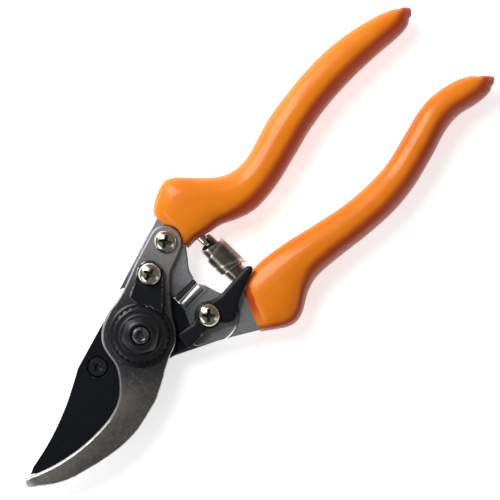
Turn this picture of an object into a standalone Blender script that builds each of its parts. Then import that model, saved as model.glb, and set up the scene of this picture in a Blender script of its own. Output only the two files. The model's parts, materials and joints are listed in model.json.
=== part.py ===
"""Bypass pruner: a hooked counter blade and a cutting blade on two forged arms with dipped grips.

Run with: blender --background --python part.py

The tool lies flat and shut. The pivot's axis is the Z axis, the blades point along +Y, the handles
run along -Y, and +Z is the side with the nut. The hook's arm is on the +X side, and it is the fixed
half. The origin is the middle of the bolt head's flat underside. Sizes are in millimetres here, and
Blender's units are metres.
"""

import math

import bmesh
import bpy
from mathutils import Vector

MM = 0.001

# Clearances
GAP = 0.3           # between stacked flat faces, and round a shank
SKIN_GAP = 0.3      # between a grip and the steel in it, and between cut pieces

# Thicknesses of the stack on the pivot, from the bolt's head up
BOLT_HEAD_T = 3.0
BOLT_WASHER_T = 0.8
LAP_T = 3.6         # the blade arm's thinned end
BLADE_T = 2.8
HOOK_T = 2.8
THRUST_T = 0.8
FLANGE_T = 1.8
NUT_T = 4.0
BOLT_PROUD = 0.6

# Pivot radii
SHANK_R = 4.9
THREAD_R = 3.0
BOLT_HEAD_AF = 13.0
BOLT_WASHER_R = 8.5
BOLT_DIMPLE_R = 1.6
BOLT_DIMPLE_DEPTH = 1.0
NUT_AF = 12.0
NUT_COLLAR_R = 7.6
NUT_TEETH = 26
TOOTH_ROOT_R = 9.1
TOOTH_HEIGHT = 0.8
TOOTH_TIP_R = TOOTH_ROOT_R + TOOTH_HEIGHT
THRUST_BEYOND_NUT = 1.4
THRUST_R = TOOTH_TIP_R + THRUST_BEYOND_NUT

# Working lengths from the pivot's axis
TIP_Y = 65.3        # the hook's tip
JAW_Y = 13.4        # where the hook's mouth starts
HOOK_COLLAR_Y = -32.9
HOOK_GRIP_LEN = 113.8
BLADE_COLLAR_Y = -29.4
BLADE_GRIP_LEN = 120.6

# Clearance circle between the two halves of the head
BOSS_R = 16.9       # the blade side's round boss
BOSS_CLEARANCE = 0.4
ARM_ARC_R = BOSS_R + BOSS_CLEARANCE     # the hook arm's hollow end round that boss
RIM_BEYOND_THRUST = 1.1
RIM_R = THRUST_R + RIM_BEYOND_THRUST    # the hook plate's rim, where the catch's nose stands

# Screws
SCREW_R = 1.95
SCREW_HEAD_REST = 1.95      # a pan head's width beyond its shank
SCREW_HEAD_R = SCREW_R + SCREW_HEAD_REST
SCREW_HEAD_T = 2.4
SCREW_BITE = 6.6    # length in the arm
CROSS_L = 4.4
CROSS_W = 0.9
CROSS_DEPTH = 1.3
BLADE_SCREW_HEAD_REST = 1.35
BLADE_SCREW_HEAD_R = SCREW_R + BLADE_SCREW_HEAD_REST
BLADE_SCREW_HEAD_T = 1.6
COUNTERBORE_CLEARANCE = 0.7
COUNTERBORE_R = BLADE_SCREW_HEAD_R + COUNTERBORE_CLEARANCE

# Places in plan
HOOK_SCREW = (16.3, -29.1)
SEGMENT_SCREW_OUT = 4.0     # from the arm's hollow end to the segment's screw
SEGMENT_SCREW_ANGLE = -54.4
SEGMENT_SCREW = (
    (ARM_ARC_R + SEGMENT_SCREW_OUT) * math.cos(math.radians(SEGMENT_SCREW_ANGLE)),
    (ARM_ARC_R + SEGMENT_SCREW_OUT) * math.sin(math.radians(SEGMENT_SCREW_ANGLE)),
)
BLADE_SCREW = (2.8, 18.6)
CATCH_PIVOT = (-12.2, -21.2)
PLATE_END_LAND = 1.7
HOOK_END_R = SCREW_HEAD_R + PLATE_END_LAND  # the hook plate's round end about its screw
SEGMENT_END_LAND = 0.8
SEGMENT_END_R = SCREW_HEAD_R + SEGMENT_END_LAND
BUFFER_FACE_X = 0.2
BUFFER_T = 1.7
BUFFER_TOP_Y = -ARM_ARC_R
BUFFER_END_Y = -26.4
BUFFER_TONGUE = 3.0
BEAD_R = 1.7
BEAD_RISE = 1.0

# Catch
CATCH_T = 2.7
CATCH_BUSH_WALL = 0.45
CATCH_BUSH_R = SCREW_R + GAP + CATCH_BUSH_WALL
CATCH_HUB_WALL = 1.9
CATCH_HUB_R = CATCH_BUSH_R + GAP + CATCH_HUB_WALL
WAVE_T = 0.4
WAVE_WIDTH = 1.6
WAVE_R = CATCH_BUSH_R + GAP + WAVE_WIDTH

# Grips
GRIP_WALL = 2.0
COLLAR_WALL = 0.7
GRIP_ROUNDNESS = 2.3    # exponent of the section's superellipse
TANG_SHARE = 0.93       # how far down the grip its steel core reaches
TANG_ROOT = 3.0         # how far the core's root is sunk into the arm

# Volute spring, wound from flat strip and widest at its middle
SPRING_AXIS_Y = -38.7
SPRING_R = 5.0
SPRING_STRIP_T = 0.6
SPRING_STRIP_W = 7.0
SPRING_PITCH = 0.95     # how far in each turn lies from the one round it
SPRING_PHASE = 0.0      # where the strip's middle stands on its turn, in degrees
SPRING_TURNS = (2.35, 1.9)      # from the middle to the blade arm, and to the hook arm
SPRING_END_GAPS = (0.66, 0.87)  # between the strip's ends and the two grips
PEG_SETS = (3.65, 4.24)         # how far inside the two grips the pegs' shoulders stand
PEG_R = 1.6
PEG_TIP_R = 1.0
PEG_ROOT_R = 2.0
PEG_ROOT_DEPTH = 4.0
PEG_REACH = 4.0                 # how far a peg's tip stands past its end of the strip

# Levels, worked out from the stack
Z_BOLT_WASHER = BOLT_HEAD_T + GAP
Z_ARM = Z_BOLT_WASHER + BOLT_WASHER_T + GAP
Z_LAP_TOP = Z_ARM + LAP_T
Z_BLADE = Z_LAP_TOP + GAP
Z_ARM_TOP = Z_BLADE + BLADE_T
Z_HOOK = Z_ARM_TOP + GAP
Z_HOOK_TOP = Z_HOOK + HOOK_T
Z_THRUST = Z_HOOK_TOP + GAP
Z_FLANGE = Z_THRUST + THRUST_T + GAP
Z_FLANGE_TOP = Z_FLANGE + FLANGE_T
Z_NUT_TOP = Z_FLANGE_TOP + NUT_T
Z_BOLT_TOP = Z_NUT_TOP + BOLT_PROUD
Z_WAVE = Z_ARM_TOP + GAP
Z_CATCH = Z_WAVE + WAVE_T + GAP
Z_CATCH_TOP = Z_CATCH + CATCH_T
ARM_T = Z_ARM_TOP - Z_ARM
Z_MID = Z_ARM + ARM_T / 2


# ---------------------------------------------------------------- plan outlines


def polar(centre, radius, degrees):
    a = math.radians(degrees)
    return (centre[0] + radius * math.cos(a), centre[1] + radius * math.sin(a))


def arc(centre, radius, start, end, step=10.0):
    """Points on an arc from one angle to another, in degrees, ends included."""
    n = max(2, math.ceil(abs(end - start) / step) + 1)
    return [polar(centre, radius, start + (end - start) * i / (n - 1)) for i in range(n)]


def circle(centre, radius, sides=24):
    return [polar(centre, radius, 360 * i / sides) for i in range(sides)]


def catmull(p0, p1, p2, p3, t):
    """A point between p1 and p2 on the smooth curve through four points of any dimension."""
    return tuple(
        0.5 * (2 * b + (c - a) * t + (2 * a - 5 * b + 4 * c - d) * t * t
               + (3 * b - a - 3 * c + d) * t ** 3)
        for a, b, c, d in zip(p0, p1, p2, p3)
    )


def smooth(points, per_span=3):
    """A smooth open curve through the points."""
    ends = [points[0], *points, points[-1]]
    found = [
        catmull(*ends[i:i + 4], k / per_span)
        for i in range(len(points) - 1)
        for k in range(per_span)
    ]
    return [*found, points[-1]]


def along_jaw(share):
    """Y at a share of the way from the jaw's root to the hook's tip."""
    return JAW_Y + share * (TIP_Y - JAW_Y)


def jaw_curve(pairs, per_span=3):
    """A smooth curve from (share of the jaw's length, x) pairs."""
    return smooth([(x, along_jaw(share)) for share, x in pairs], per_span)


def hook_plate_outline():
    """The counter blade: a round end on its arm, an eye on the pivot and the hook."""
    far_end = arc(HOOK_SCREW, HOOK_END_R, 193, 378, 15)
    back = [(18.3, -16.0), (15.3, -7.8), (14.1, -3.0)]
    eye = smooth([(13.6, 1.2), (12.4, 5.2), (10.4, 8.6), (7.6, 11.3), (4.0, 12.7), (0.0, JAW_Y)])
    mouth = jaw_curve([
        (0.02, -2.7), (0.07, -6.2), (0.13, -9.2), (0.20, -11.2), (0.30, -12.5),
        (0.42, -12.8), (0.54, -12.5), (0.66, -11.5), (0.78, -9.9), (0.90, -7.5), (0.935, -6.6),
    ], 2)
    tip = smooth([(-6.3, along_jaw(0.965)), (-7.2, along_jaw(0.995)), (-8.7, along_jaw(0.998))])
    belly = jaw_curve([
        (0.95, -11.0), (0.87, -14.3), (0.76, -17.3), (0.62, -19.6), (0.48, -21.4),
        (0.34, -22.4), (0.20, -22.2), (0.07, -20.8),
    ], 2)
    root = smooth([(-20.0, along_jaw(0.0)), (-17.4, 7.6), (-15.0, 3.4), (-13.6, 0.6), (-12.7, -1.2)])
    rim = arc((0.0, 0.0), RIM_R, 194, 232)
    side = [(-2.6, -12.9), (3.0, -17.7), (7.5, -22.3), (8.6, -25.8)]
    return [*far_end, *back, *eye, *mouth[1:], *tip, *belly, *root, *rim, *side]


def blade_edge():
    """The blade's cutting edge, from its heel to its tip: an arc behind the hook."""
    return jaw_curve([
        (-0.04, -12.4), (0.06, -14.0), (0.16, -15.2), (0.30, -15.9), (0.44, -15.6),
        (0.58, -14.4), (0.72, -12.3), (0.83, -9.9), (0.93, -6.4),
    ], 2)


def blade_outline():
    """(outline, number of its first points that are the cutting edge)."""
    edge = blade_edge()
    back = [
        (-5.3, along_jaw(0.88)), (-3.9, along_jaw(0.74)), (-1.9, along_jaw(0.60)),
        (1.4, along_jaw(0.43)), (5.2, along_jaw(0.28)), (7.4, along_jaw(0.20)),
    ]
    eye_side = [(11.9, 7.4), (12.6, 3.0), (12.7, -4.0), (9.5, -11.0)]
    boss = arc((0.0, 0.0), BOSS_R, -68, -152)
    heel = [(-13.2, -3.2), (-12.6, 3.0)]
    return [*edge, *back, *eye_side, *boss, *heel], len(edge)


def blade_arm_plan():
    """The blade arm's full-thickness end, up to the collar."""
    shoulder = arc((0.0, 0.0), BOSS_R + SKIN_GAP, 207, 261, 8)
    inner = [(-2.6, BUFFER_END_Y), (-4.2, -27.6), (-9.8, -29.3)]
    by_the_catch = smooth([(-11.4, -30.6), (-12.4, -32.2), (-13.3, -34.2)], 2)
    outer_corner, inner_corner = collar_corners(BLADE_HANDLE)
    return [*shoulder, *inner, *by_the_catch, inner_corner, outer_corner]


def blade_arm_lap():
    """The blade arm's thinned end, under the blade and out to the blade's screw."""
    boss = arc((0.0, 0.0), BOSS_R, -68, -99, 8)
    root = [(-3.4, -20.0), (-14.0, -20.0), (-22.0, -18.6)]
    outer = [(-13.9, -2.8), (-12.2, 3.0), (-9.0, 10.0), (-5.0, 18.0)]
    nose = arc(BLADE_SCREW, 5.2, 150, 20, 20)
    eye_side = [(11.2, 7.0), (12.0, 2.0), (12.1, -4.0), (9.2, -10.8)]
    return [*boss, *root, *outer, *nose, *eye_side]


def hook_arm_plan():
    """The hook arm's forged end, up to the collar."""
    hollow = arc((0.0, 0.0), ARM_ARC_R, -89.0, -19.5, 8)
    inner = smooth([(6.4, -30.2), (3.6, -27.9), (BUFFER_FACE_X, -26.7)], 3)
    return [*hollow, *collar_corners(HOOK_HANDLE), *inner]


def segment_outline():
    """The nut's locking segment: teeth on its inner arc and a round end about its screw."""
    pitch = 360 / NUT_TEETH
    teeth = []
    for k in range(4):
        middle = -38 - (k + 0.5) * pitch
        teeth += [polar((0, 0), TOOTH_TIP_R + SKIN_GAP, middle + 0.30 * pitch)]
        teeth += [polar((0, 0), TOOTH_ROOT_R + SKIN_GAP + 0.2, middle + 0.08 * pitch)]
        teeth += [polar((0, 0), TOOTH_ROOT_R + SKIN_GAP + 0.2, middle - 0.08 * pitch)]
        teeth += [polar((0, 0), TOOTH_TIP_R + SKIN_GAP, middle - 0.30 * pitch)]
    left = [(1.2, -12.2)]
    end = arc(SEGMENT_SCREW, SEGMENT_END_R, 215, 385, 17)
    right = [(14.0, -11.6), (12.9, -8.6), (11.8, -6.8)]
    return [*teeth, *left, *end, *right]


def catch_outline():
    """The safety catch: a nose towards the pivot, a hub and a tapering thumb arm."""
    nose = [(-10.2, -15.2), (-9.7, -12.0), (-9.3, -9.3), (-9.8, -8.7), (-14.8, -8.0), (-15.4, -8.6)]
    left = [(-15.6, -15.4)]
    hub_left = arc(CATCH_PIVOT, CATCH_HUB_R, 130, 190, 15)
    arm_left = smooth([
        (-18.6, -23.6), (-19.9, -26.0), (-19.0, -28.2), (-16.9, -31.2), (-15.3, -34.8),
        (-13.7, -39.4), (-12.7, -42.4),
    ], 2)
    tip = [(-11.9, -43.6), (-10.9, -43.7), (-10.0, -42.6)]
    arm_right = smooth([(-9.8, -41.0), (-10.1, -34.0), (-10.2, -28.6), (-9.3, -25.4)], 2)
    hub_right = arc(CATCH_PIVOT, CATCH_HUB_R, -42, 58, 15)
    return [*nose, *left, *hub_left, *arm_left, *tip, *arm_right, *hub_right]


# Each grip station: share of the grip's length below its collar and x, for the side away from the
# other handle and for the side that faces it, then half the thickness.
HOOK_GRIP = [
    (0.000, 25.7, 0.000, 8.8, 4.4),
    (0.031, 28.6, 0.040, 8.7, 6.4),
    (0.085, 31.0, 0.085, 7.3, 7.5),
    (0.125, 29.6, 0.125, 6.2, 7.7),
    (0.188, 22.1, 0.172, 3.5, 7.7),
    (0.235, 17.7, 0.225, 1.6, 7.7),
    (0.290, 16.0, 0.280, 1.5, 7.7),
    (0.350, 16.8, 0.345, 2.4, 7.7),
    (0.450, 20.0, 0.440, 4.9, 7.6),
    (0.535, 21.5, 0.530, 7.3, 7.5),
    (0.634, 22.4, 0.630, 8.7, 7.0),
    (0.730, 22.3, 0.734, 9.0, 6.9),
    (0.820, 20.9, 0.830, 8.4, 6.7),
    (0.900, 18.5, 0.905, 7.6, 6.3),
    (0.950, 16.3, 0.950, 7.7, 5.2),
    (0.985, 13.9, 0.985, 9.2, 3.2),
    (1.000, 12.2, 1.000, 10.6, 1.8),
]
BLADE_GRIP = [
    (0.000, -29.3, 0.053, -14.6, 4.4),
    (0.029, -32.1, 0.078, -13.3, 6.4),
    (0.076, -35.7, 0.113, -12.5, 7.5),
    (0.120, -35.6, 0.150, -12.5, 7.7),
    (0.182, -31.7, 0.200, -13.4, 7.7),
    (0.235, -30.3, 0.260, -14.9, 7.7),
    (0.320, -31.2, 0.335, -17.2, 7.7),
    (0.420, -32.9, 0.430, -19.7, 7.5),
    (0.520, -33.7, 0.520, -20.8, 7.4),
    (0.610, -32.8, 0.605, -20.5, 7.0),
    (0.710, -30.0, 0.705, -17.8, 6.9),
    (0.790, -27.2, 0.781, -15.7, 6.8),
    (0.850, -26.7, 0.840, -15.4, 6.6),
    (0.910, -28.4, 0.905, -17.1, 6.2),
    (0.955, -28.9, 0.947, -19.3, 5.2),
    (0.985, -28.0, 0.978, -22.6, 3.4),
    (1.000, -26.8, 0.998, -25.2, 1.8),
]


def tang_up(handle):
    """The step from a handle's collar line up into its arm."""
    stations, _, length = handle
    share_out, x_out, share_in, x_in, _ = stations[0]
    along = Vector((x_in - x_out, -(share_in - share_out) * length)).normalized()
    across = Vector((along.y, -along.x))
    return tuple(across * math.copysign(TANG_ROOT, across.y))


def collar_corners(handle):
    """The arm's two corners just clear of its grip's collar, the outer one first."""
    stations, collar_y, length = handle
    share_out, x_out, share_in, x_in, _ = stations[0]
    outer = Vector((x_out, collar_y - share_out * length))
    inner = Vector((x_in, collar_y - share_in * length))
    inset = (inner - outer).normalized() * COLLAR_WALL
    lift = Vector(tang_up(handle)).normalized() * SKIN_GAP
    return tuple(outer + inset + lift), tuple(inner - inset + lift)


HOOK_HANDLE = (HOOK_GRIP, HOOK_COLLAR_Y, HOOK_GRIP_LEN)
BLADE_HANDLE = (BLADE_GRIP, BLADE_COLLAR_Y, BLADE_GRIP_LEN)
HOOK_TANG_UP = tang_up(HOOK_HANDLE)
BLADE_TANG_UP = tang_up(BLADE_HANDLE)


def inner_face_x(handle):
    """X of a grip's inner side where the spring's axis meets it."""
    stations, collar_y, length = handle
    side = [(x_in, collar_y - share_in * length) for _, _, share_in, x_in, _ in stations]
    for (x_high, y_high), (x_low, y_low) in zip(side, side[1:]):
        if y_low <= SPRING_AXIS_Y <= y_high:
            return x_high + (x_low - x_high) * (y_high - SPRING_AXIS_Y) / (y_high - y_low)
    return side[0][0]


BLADE_FACE_X = inner_face_x(BLADE_HANDLE)
HOOK_FACE_X = inner_face_x(HOOK_HANDLE)
SPRING_LOW_X = BLADE_FACE_X + SPRING_END_GAPS[0]
SPRING_HIGH_X = HOOK_FACE_X - SPRING_END_GAPS[1]
# how far along the axis each turn moves
SPRING_STEP = (SPRING_HIGH_X - SPRING_LOW_X - SPRING_STRIP_W) / sum(SPRING_TURNS)
SPRING_MID_X = SPRING_LOW_X + SPRING_STRIP_W / 2 + SPRING_STEP * SPRING_TURNS[0]


# ---------------------------------------------------------------- Blender helpers


def clear_scene():
    for obj in list(bpy.data.objects):
        bpy.data.objects.remove(obj)


def collection(name):
    made = bpy.data.collections.new(name)
    bpy.context.scene.collection.children.link(made)
    return made


def material(name, colour, roughness, metallic):
    made = bpy.data.materials.new(name)
    made.use_nodes = True
    shader = made.node_tree.nodes["Principled BSDF"]
    shader.inputs["Base Color"].default_value = (*colour, 1.0)
    shader.inputs["Roughness"].default_value = roughness
    shader.inputs["Metallic"].default_value = metallic
    return made


def place(name, mesh, where, paint=None, sharp=35.0):
    """Puts a mesh in a collection as a named object with its material."""
    obj = bpy.data.objects.new(name, mesh)
    where.objects.link(obj)
    if paint:
        mesh.materials.clear()
        mesh.materials.append(paint)
    mesh.shade_smooth()
    mesh.set_sharp_from_angle(angle=math.radians(sharp))
    return obj


def as_cutter(obj):
    obj.hide_render = True
    obj.display_type = "WIRE"
    return obj


def slab_mesh(name, outline, z_low, z_high, holes=(), chamfer=0.0):
    """A closed slab from a plan outline and its holes, by extruding a flat curve."""
    curve = bpy.data.curves.new(name, "CURVE")
    curve.dimensions = "2D"
    curve.fill_mode = "BOTH"
    curve.extrude = ((z_high - z_low) / 2 - chamfer) * MM
    curve.bevel_depth = chamfer * MM
    curve.bevel_resolution = 0
    curve.offset = -chamfer * MM
    for points in (outline, *holes):
        spline = curve.splines.new("POLY")
        spline.points.add(len(points) - 1)
        for point, (x, y) in zip(spline.points, points):
            point.co = (x * MM, y * MM, 0.0, 1.0)
        spline.use_cyclic_u = True
    flat = bpy.data.objects.new(name + "_curve", curve)
    bpy.context.scene.collection.objects.link(flat)
    bpy.context.view_layer.update()
    graph = bpy.context.evaluated_depsgraph_get()
    mesh = bpy.data.meshes.new_from_object(flat.evaluated_get(graph))
    bpy.data.objects.remove(flat)
    bpy.data.curves.remove(curve)
    work = bmesh.new()
    work.from_mesh(mesh)
    bmesh.ops.remove_doubles(work, verts=work.verts, dist=1e-6)
    bmesh.ops.translate(work, verts=work.verts, vec=(0, 0, (z_low + z_high) / 2 * MM))
    bmesh.ops.recalc_face_normals(work, faces=work.faces)
    work.to_mesh(mesh)
    work.free()
    mesh.name = name
    return mesh


def slab(name, outline, z_low, z_high, where, paint=None, holes=(), chamfer=0.0):
    return place(name, slab_mesh(name, outline, z_low, z_high, holes, chamfer), where, paint)


def turned(name, profile, where, paint=None, sides=32):
    """A turned piece on the Z axis from (radius, z) points, down its outside from top to bottom.

    A profile that starts away from the axis is closed into a loop, which turns into a ring.
    """
    mesh = bpy.data.meshes.new(name)
    points = [(r * MM, 0.0, z * MM) for r, z in profile]
    edges = [(i, i + 1) for i in range(len(points) - 1)]
    if profile[0][0] > 0:
        edges.append((len(points) - 1, 0))
    mesh.from_pydata(points, edges, [])
    obj = place(name, mesh, where, paint)
    screw = obj.modifiers.new("turn", "SCREW")
    screw.steps = screw.render_steps = sides
    screw.use_merge_vertices = True
    screw.merge_threshold = 1e-6
    screw.use_smooth_shade = True
    return obj


def rod(name, centre, radius, z_low, z_high, where, sides=24):
    """A plain round bar along Z, used as a cutter."""
    work = bmesh.new()
    bmesh.ops.create_cone(
        work, cap_ends=True, segments=sides, radius1=radius * MM, radius2=radius * MM,
        depth=(z_high - z_low) * MM,
    )
    bmesh.ops.translate(
        work, verts=work.verts, vec=Vector((*centre, (z_low + z_high) / 2)) * MM)
    mesh = bpy.data.meshes.new(name)
    work.to_mesh(mesh)
    work.free()
    return as_cutter(place(name, mesh, where))


def boolean(obj, other, operation):
    step = obj.modifiers.new(operation.lower() + "_" + other.name, "BOOLEAN")
    step.operation = operation
    step.object = other
    step.solver = "EXACT"


def drill(obj, fitted, cutters):
    """Holes right through for the shanks that pass: name to (centre, shank radius)."""
    for name, (centre, radius) in fitted.items():
        hole = rod(f"{obj.name}_{name}_hole", centre, radius + GAP, Z_ARM - 2, Z_ARM_TOP + 3, cutters)
        boolean(obj, hole, "DIFFERENCE")


def ring_loft(name, rings, where, paint=None):
    """A closed skin over rings of points, all with the same count, with flat ends."""
    work = bmesh.new()
    rows = [[work.verts.new(Vector(p) * MM) for p in ring] for ring in rings]
    count = len(rows[0])
    for low, high in zip(rows, rows[1:]):
        for i in range(count):
            j = (i + 1) % count
            work.faces.new((low[i], low[j], high[j], high[i]))
    work.faces.new(list(reversed(rows[0])))
    work.faces.new(rows[-1])
    bmesh.ops.recalc_face_normals(work, faces=work.faces)
    mesh = bpy.data.meshes.new(name)
    work.to_mesh(mesh)
    work.free()
    return place(name, mesh, where, paint)


# ---------------------------------------------------------------- handle shapes


def handle_ring(outer, inner, half, sides):
    """A squarish oval ring standing on the line between two plan points."""
    a, b = Vector(outer), Vector(inner)
    middle, reach = (a + b) / 2, (b - a) / 2
    ring = []
    for i in range(sides):
        t = 2 * math.pi * (i + 0.5) / sides
        c, s = math.cos(t), math.sin(t)
        across = math.copysign(abs(c) ** (2 / GRIP_ROUNDNESS), c)
        up = math.copysign(abs(s) ** (2 / GRIP_ROUNDNESS), s)
        p = middle + reach * across
        ring.append((p.x, p.y, Z_MID + half * up))
    return ring


def handle_rings(handle, wall_at, last=1.0, sides=16):
    """Rings down a handle, drawn in by wall_at(share), as far as a share of its length."""
    stations, collar_y, length = handle
    rings = []
    for share_out, x_out, share_in, x_in, half in stations:
        if share_out > last:
            break
        wall = wall_at(share_out)
        outer = Vector((x_out, collar_y - share_out * length))
        inner = Vector((x_in, collar_y - share_in * length))
        draw_in = (inner - outer).normalized() * wall
        rings.append(handle_ring(outer + draw_in, inner - draw_in, half - wall, sides))
    return rings


def wall_at(share):
    """A grip's wall: thin at its collar, full a little way down."""
    grown = min(1.0, share / 0.08)
    return COLLAR_WALL + (GRIP_WALL - COLLAR_WALL) * grown


def shifted(ring, step):
    return [(x + step[0], y + step[1], z) for x, y, z in ring]


def core_rings(handle, gap, up):
    """Rings of the steel core in a grip, or with no gap of the hollow for it, with a root ring."""
    rings = handle_rings(handle, lambda share: wall_at(share) + gap, TANG_SHARE)
    return [shifted(rings[0], up), *rings]


def grip(name, handle, up, where, cutters, paint):
    obj = ring_loft(name, handle_rings(handle, lambda share: 0.0), where, paint)
    rings = core_rings(handle, 0.0, up)
    rings.append(shifted(rings[-1], (0, -SKIN_GAP)))
    hollow = as_cutter(ring_loft(name + "_hollow", rings, cutters))
    boolean(obj, hollow, "DIFFERENCE")
    return obj


def sunk_root(rings, up):
    """The core's rings with its root ring narrowed, so that it ends inside the arm."""
    root = rings[1]
    middle = sum((Vector(p) for p in root), Vector()) / len(root)
    narrowed = [tuple(middle + (Vector(p) - middle) * 0.86) for p in root]
    return [shifted(narrowed, up), *rings[1:]]


# ---------------------------------------------------------------- the fixed half


def hook_arm(parts, cutters, paint):
    z_bore = (Z_ARM - 1, Z_ARM_TOP + 1)
    arm = slab("hook_arm", hook_arm_plan(), Z_ARM, Z_ARM_TOP, parts, paint, (), 0.5)
    rings = sunk_root(core_rings(HOOK_HANDLE, SKIN_GAP, HOOK_TANG_UP), HOOK_TANG_UP)
    core = as_cutter(ring_loft("hook_arm_core", rings, cutters))
    boolean(arm, core, "UNION")
    drill(arm, {"hook_screw": (HOOK_SCREW, SCREW_R), "segment_screw": (SEGMENT_SCREW, SCREW_R)},
          cutters)
    slot = slab_mesh("buffer_slot", buffer_outline(SKIN_GAP), *z_bore)
    boolean(arm, as_cutter(place("buffer_slot", slot, cutters)), "DIFFERENCE")
    boolean(arm, plate_end_clearance("hook_arm_plate_recess", cutters), "DIFFERENCE")
    boolean(arm, spring_seat("hook_arm_peg_seat", 1, cutters), "DIFFERENCE")
    return arm


def plate_end_clearance(name, cutters):
    """Room for the plate's round end above the arm and in the grip's collar."""
    low = Z_ARM_TOP + 0.02
    return rod(name, HOOK_SCREW, HOOK_END_R + SKIN_GAP, low, Z_HOOK_TOP + 6, cutters, 32)


def buffer_outline(grow=0.0):
    """The rubber buffer: a strip on the arm's stop face with a tongue in the arm."""
    middle = (BUFFER_TOP_Y + BUFFER_END_Y) / 2
    low_x = BUFFER_FACE_X - BUFFER_T
    face_x = BUFFER_FACE_X - GAP
    end_x = BUFFER_FACE_X + BUFFER_TONGUE + grow
    half = 1.4 + grow
    return [
        (low_x, BUFFER_END_Y), (face_x, BUFFER_END_Y), (face_x, middle - half),
        (end_x, middle - half), (end_x, middle + half), (face_x, middle + half),
        (face_x, BUFFER_TOP_Y), (low_x, BUFFER_TOP_Y),
    ]


def rubber_buffer(parts, paint):
    return slab("rubber_buffer", buffer_outline(), Z_ARM + 0.3, Z_ARM_TOP - 0.3, parts, paint)


def hook_blade(parts, paint):
    holes = [
        circle((0, 0), SHANK_R + GAP, 32),
        circle(HOOK_SCREW, SCREW_R + SKIN_GAP, 16),
        circle(SEGMENT_SCREW, SCREW_R + SKIN_GAP, 16),
    ]
    return slab("hook_blade", hook_plate_outline(), Z_HOOK, Z_HOOK_TOP, parts, paint, holes, 0.35)


def pivot_bolt(parts, cutters, paint):
    """Hexagon head below, plain shank through both halves, threaded end through the nut."""
    head_r = BOLT_HEAD_AF / 2 / math.cos(math.radians(30))
    work = bmesh.new()
    bmesh.ops.create_cone(
        work, cap_ends=True, segments=6, radius1=head_r * MM, radius2=head_r * MM,
        depth=BOLT_HEAD_T * MM)
    bmesh.ops.translate(work, verts=work.verts, vec=(0, 0, BOLT_HEAD_T / 2 * MM))
    mesh = bpy.data.meshes.new("pivot_bolt")
    work.to_mesh(mesh)
    work.free()
    bolt = place("pivot_bolt", mesh, parts, paint)
    bevel = bolt.modifiers.new("head_edges", "BEVEL")
    bevel.width = 0.5 * MM
    bevel.segments = 1
    bevel.limit_method = "ANGLE"
    bevel.angle_limit = math.radians(70)
    shank_top = Z_THRUST + THRUST_T
    shank = turned("pivot_bolt_shank", [
        (0, Z_BOLT_TOP - BOLT_DIMPLE_DEPTH), (BOLT_DIMPLE_R, Z_BOLT_TOP - BOLT_DIMPLE_DEPTH),
        (BOLT_DIMPLE_R, Z_BOLT_TOP), (THREAD_R - 0.4, Z_BOLT_TOP), (THREAD_R, Z_BOLT_TOP - 0.4),
        (THREAD_R, shank_top), (SHANK_R, shank_top), (SHANK_R, BOLT_HEAD_T / 2),
        (0, BOLT_HEAD_T / 2),
    ], cutters)
    boolean(bolt, as_cutter(shank), "UNION")
    return bolt


def ring(name, inner_r, outer_r, z_low, z_high, parts, paint, sides=32):
    return turned(name, [
        (inner_r, z_high), (outer_r, z_high), (outer_r, z_low), (inner_r, z_low),
    ], parts, paint, sides)


def thrust_washer(parts, paint):
    """The wide black washer under the nut, with a bevelled rim."""
    slope = THRUST_T * 0.6
    return turned("thrust_washer", [
        (SHANK_R + GAP, Z_THRUST + THRUST_T), (THRUST_R - slope, Z_THRUST + THRUST_T),
        (THRUST_R, Z_THRUST + THRUST_T - slope), (THRUST_R, Z_THRUST), (SHANK_R + GAP, Z_THRUST),
    ], parts, paint, 40)


def toothed_outline():
    """The nut's flange: small teeth all round."""
    pitch = 360 / NUT_TEETH
    points = []
    for k in range(NUT_TEETH):
        middle = -38 - k * pitch
        points += [polar((0, 0), TOOTH_ROOT_R, middle + 0.40 * pitch)]
        points += [polar((0, 0), TOOTH_TIP_R, middle + 0.15 * pitch)]
        points += [polar((0, 0), TOOTH_TIP_R, middle - 0.15 * pitch)]
        points += [polar((0, 0), TOOTH_ROOT_R, middle - 0.40 * pitch)]
    return points


def pivot_nut(parts, cutters, paint):
    """A hexagon nut with a collar and a toothed flange in one piece."""
    nut = slab("pivot_nut", toothed_outline(), Z_FLANGE, Z_FLANGE_TOP, parts, paint)
    corner_r = NUT_AF / 2 / math.cos(math.radians(30))
    collar_top = Z_FLANGE_TOP + 0.8
    collar = as_cutter(turned("pivot_nut_collar", [
        (0, collar_top), (NUT_COLLAR_R - 0.5, collar_top), (NUT_COLLAR_R, collar_top - 0.5),
        (NUT_COLLAR_R, Z_FLANGE + 0.5), (0, Z_FLANGE + 0.5),
    ], cutters))
    boolean(nut, collar, "UNION")
    hexagon = as_cutter(slab(
        "pivot_nut_hexagon", circle((0, 0), corner_r, 6), Z_FLANGE + 1.0, Z_NUT_TOP, cutters))
    dome = as_cutter(turned("pivot_nut_dome", [
        (0, Z_NUT_TOP + 1), (4.6, Z_NUT_TOP + 0.4), (corner_r + 0.4, Z_NUT_TOP - 2.2),
        (corner_r + 0.4, Z_FLANGE), (0, Z_FLANGE),
    ], cutters))
    boolean(hexagon, dome, "INTERSECT")
    boolean(nut, hexagon, "UNION")
    bore = rod("pivot_nut_bore", (0, 0), THREAD_R + GAP, Z_FLANGE - 1, Z_NUT_TOP + 1, cutters, 32)
    boolean(nut, bore, "DIFFERENCE")
    return nut


def lock_segment(parts, cutters, paint):
    hole = circle(SEGMENT_SCREW, SCREW_R + SKIN_GAP, 16)
    segment = slab(
        "nut_lock_segment", segment_outline(), Z_THRUST, Z_FLANGE_TOP, parts, paint, [hole])
    relief = rod("segment_relief", (0, 0), THRUST_R + SKIN_GAP, Z_THRUST - 2,
                 Z_THRUST + THRUST_T + GAP, cutters, 40)
    boolean(segment, relief, "DIFFERENCE")
    return segment


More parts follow.
